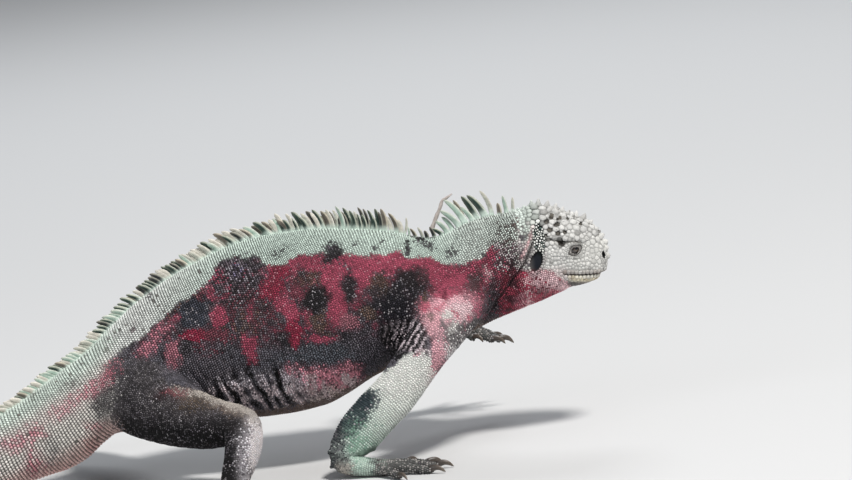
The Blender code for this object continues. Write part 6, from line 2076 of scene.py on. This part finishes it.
def marked(name, rough, spread, bump, size, gloss=0.35, tint=0.10, mottle=420.0):
    """Colour from the markings, mottled; fine grain in the surface; uneven gloss."""
    mat, tree, shader = new_material(name)
    link = tree.links.new
    mark = tree.nodes.new("ShaderNodeVertexColor")
    mark.layer_name = "marking"
    where = tree.nodes.new("ShaderNodeTexCoord")
    grain = add(tree, "ShaderNodeTexNoise", Scale=size, Detail=4.0, Roughness=0.6)
    patch = add(tree, "ShaderNodeTexNoise", Scale=mottle, Detail=3.0, Roughness=0.55)
    link(where.outputs["Object"], grain.inputs["Vector"])
    link(where.outputs["Object"], patch.inputs["Vector"])
    fade = tree.nodes.new("ShaderNodeMapRange")
    fade.inputs["From Min"].default_value = 0.3
    fade.inputs["From Max"].default_value = 0.7
    fade.inputs["To Min"].default_value = 1.0 - tint
    fade.inputs["To Max"].default_value = 1.0 + tint
    link(patch.outputs["Fac"], fade.inputs["Value"])
    mix = tree.nodes.new("ShaderNodeVectorMath")
    mix.operation = "MULTIPLY"
    link(mark.outputs["Color"], mix.inputs[0])
    link(fade.outputs["Result"], mix.inputs[1])
    link(mix.outputs["Vector"], shader.inputs["Base Color"])
    level = tree.nodes.new("ShaderNodeMapRange")
    level.inputs["From Min"].default_value = 0.3
    level.inputs["From Max"].default_value = 0.7
    level.inputs["To Min"].default_value = rough - spread
    level.inputs["To Max"].default_value = rough + spread
    link(grain.outputs["Fac"], level.inputs["Value"])
    link(level.outputs["Result"], shader.inputs["Roughness"])
    raised = tree.nodes.new("ShaderNodeBump")
    raised.inputs["Strength"].default_value = 0.6
    raised.inputs["Distance"].default_value = bump
    link(grain.outputs["Fac"], raised.inputs["Height"])
    link(raised.outputs["Normal"], shader.inputs["Normal"])
    shader.inputs["Specular IOR Level"].default_value = gloss
    return mat


def materials():
    mats = {
        "skin": marked("iguana_skin", 0.78, 0.08, 0.00012, 1500.0, 0.25, 0.12),
        "scales": marked("iguana_scales", 0.68, 0.12, 0.00008, 2600.0, 0.26, 0.08, 300.0),
        "spine": marked("crest_spines", 0.55, 0.12, 0.00010, 1800.0, 0.35, 0.12, 500.0),
        "claw": marked("claw_horn", 0.34, 0.10, 0.00006, 1400.0, 0.5, 0.18, 900.0),
        "eye": marked("iguana_eye", 0.10, 0.04, 0.00001, 700.0, 0.6, 0.08, 1500.0),
    }
    shader = mats["eye"].node_tree.nodes["Principled BSDF"]
    shader.inputs["Coat Weight"].default_value = 1.0
    shader.inputs["Coat Roughness"].default_value = 0.03
    return mats


# ---------------------------------------------------------------- the animal
mats = materials()
mesh, co = skin_mesh()
normal = unit(gradient(skin_field, co, 0.35))
cols = markings(co, normal, False)
mesh.transform(Matrix.Translation(Vector(SHIFT * MM)) @ Matrix.Scale(MM, 4))
layer_ = mesh.color_attributes.new("marking", "FLOAT_COLOR", "POINT")
layer_.data.foreach_set("color", np.concatenate([cols, np.ones((len(cols), 1))], 1).astype(np.float32).ravel())
mesh.materials.append(mats["skin"])
skin = bpy.data.objects.new("skin", mesh)
bpy.context.scene.collection.objects.link(skin)
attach(skin, "root")
flesh = [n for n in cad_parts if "claw" not in n and "eye" not in n]
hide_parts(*flesh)
print("skin triangles", sum(len(p.vertices) - 2 for p in mesh.polygons), flush=True)

unplaced = co
build_coat(mesh, co, mats)
crest(mats)
claws(mats)
eyes(mats)

# ---------------------------------------------------------------- floor, light, camera
bm = bmesh.new()
bmesh.ops.create_grid(bm, x_segments=1, y_segments=1, size=30.0)
floor_mesh = bpy.data.meshes.new("floor")
bm.to_mesh(floor_mesh)
bm.free()
floor = bpy.data.objects.new("floor", floor_mesh)
bpy.context.scene.collection.objects.link(floor)
mat, tree, shader = new_material("floor_pale")
wash = add(tree, "ShaderNodeTexNoise", Scale=3.0, Detail=2.0)
tone = tree.nodes.new("ShaderNodeMapRange")
tone.inputs["To Min"].default_value = 0.60
tone.inputs["To Max"].default_value = 0.64
tree.links.new(wash.outputs["Fac"], tone.inputs["Value"])
tree.links.new(tone.outputs["Result"], shader.inputs["Base Color"])
shader.inputs["Roughness"].default_value = 0.9
floor_mesh.materials.append(mat)


def area_light(name, place_, aim, size, power, colour):
    data = bpy.data.lights.new(name, "AREA")
    data.shape = "DISK"
    data.size = size
    data.energy = power
    data.color = colour
    obj = bpy.data.objects.new(name, data)
    bpy.context.scene.collection.objects.link(obj)
    obj.location = place_
    way = Vector(aim) - Vector(place_)
    obj.rotation_euler = way.to_track_quat("-Z", "Y").to_euler()
    return obj


area_light("key", (1.3, -1.7, 3.3), (0.1, 0.0, 0.1), 0.7, 150.0, (1.0, 0.98, 0.95))
area_light("fill", (-2.6, -2.6, 1.9), (0.0, 0.0, 0.1), 2.2, 22.0, (0.90, 0.95, 1.0))
area_light("back", (0.4, 3.0, 2.6), (0.1, 0.0, 0.1), 1.6, 50.0, (0.94, 0.97, 1.0))
world = bpy.data.worlds.new("studio")
bpy.context.scene.world = world
world.use_nodes = True
world.node_tree.nodes["Background"].inputs["Color"].default_value = (0.80, 0.84, 0.90, 1)
world.node_tree.nodes["Background"].inputs["Strength"].default_value = 0.30
bpy.context.scene.view_settings.view_transform = "Standard"
bpy.context.scene.view_settings.look = "None"

lens = bpy.data.cameras.new("camera")
lens.sensor_width = 36.0
lens.lens = 36.0 * 3000 / 562
lens.clip_start, lens.clip_end = 0.05, 200.0
camera = bpy.data.objects.new("camera", lens)
bpy.context.scene.collection.objects.link(camera)
aim = Vector(SHIFT * MM) + Vector((0, 0, 0.1373))
way = Vector((0, -math.cos(LEAN), math.sin(LEAN)))
camera.matrix_world = (
    Matrix.Translation(aim + 3.0 * way) @ (-way).to_track_quat("-Z", "Y").to_matrix().to_4x4() @ Matrix.Rotation(-ROLL, 4, "Z")
)
bpy.context.scene.camera = camera
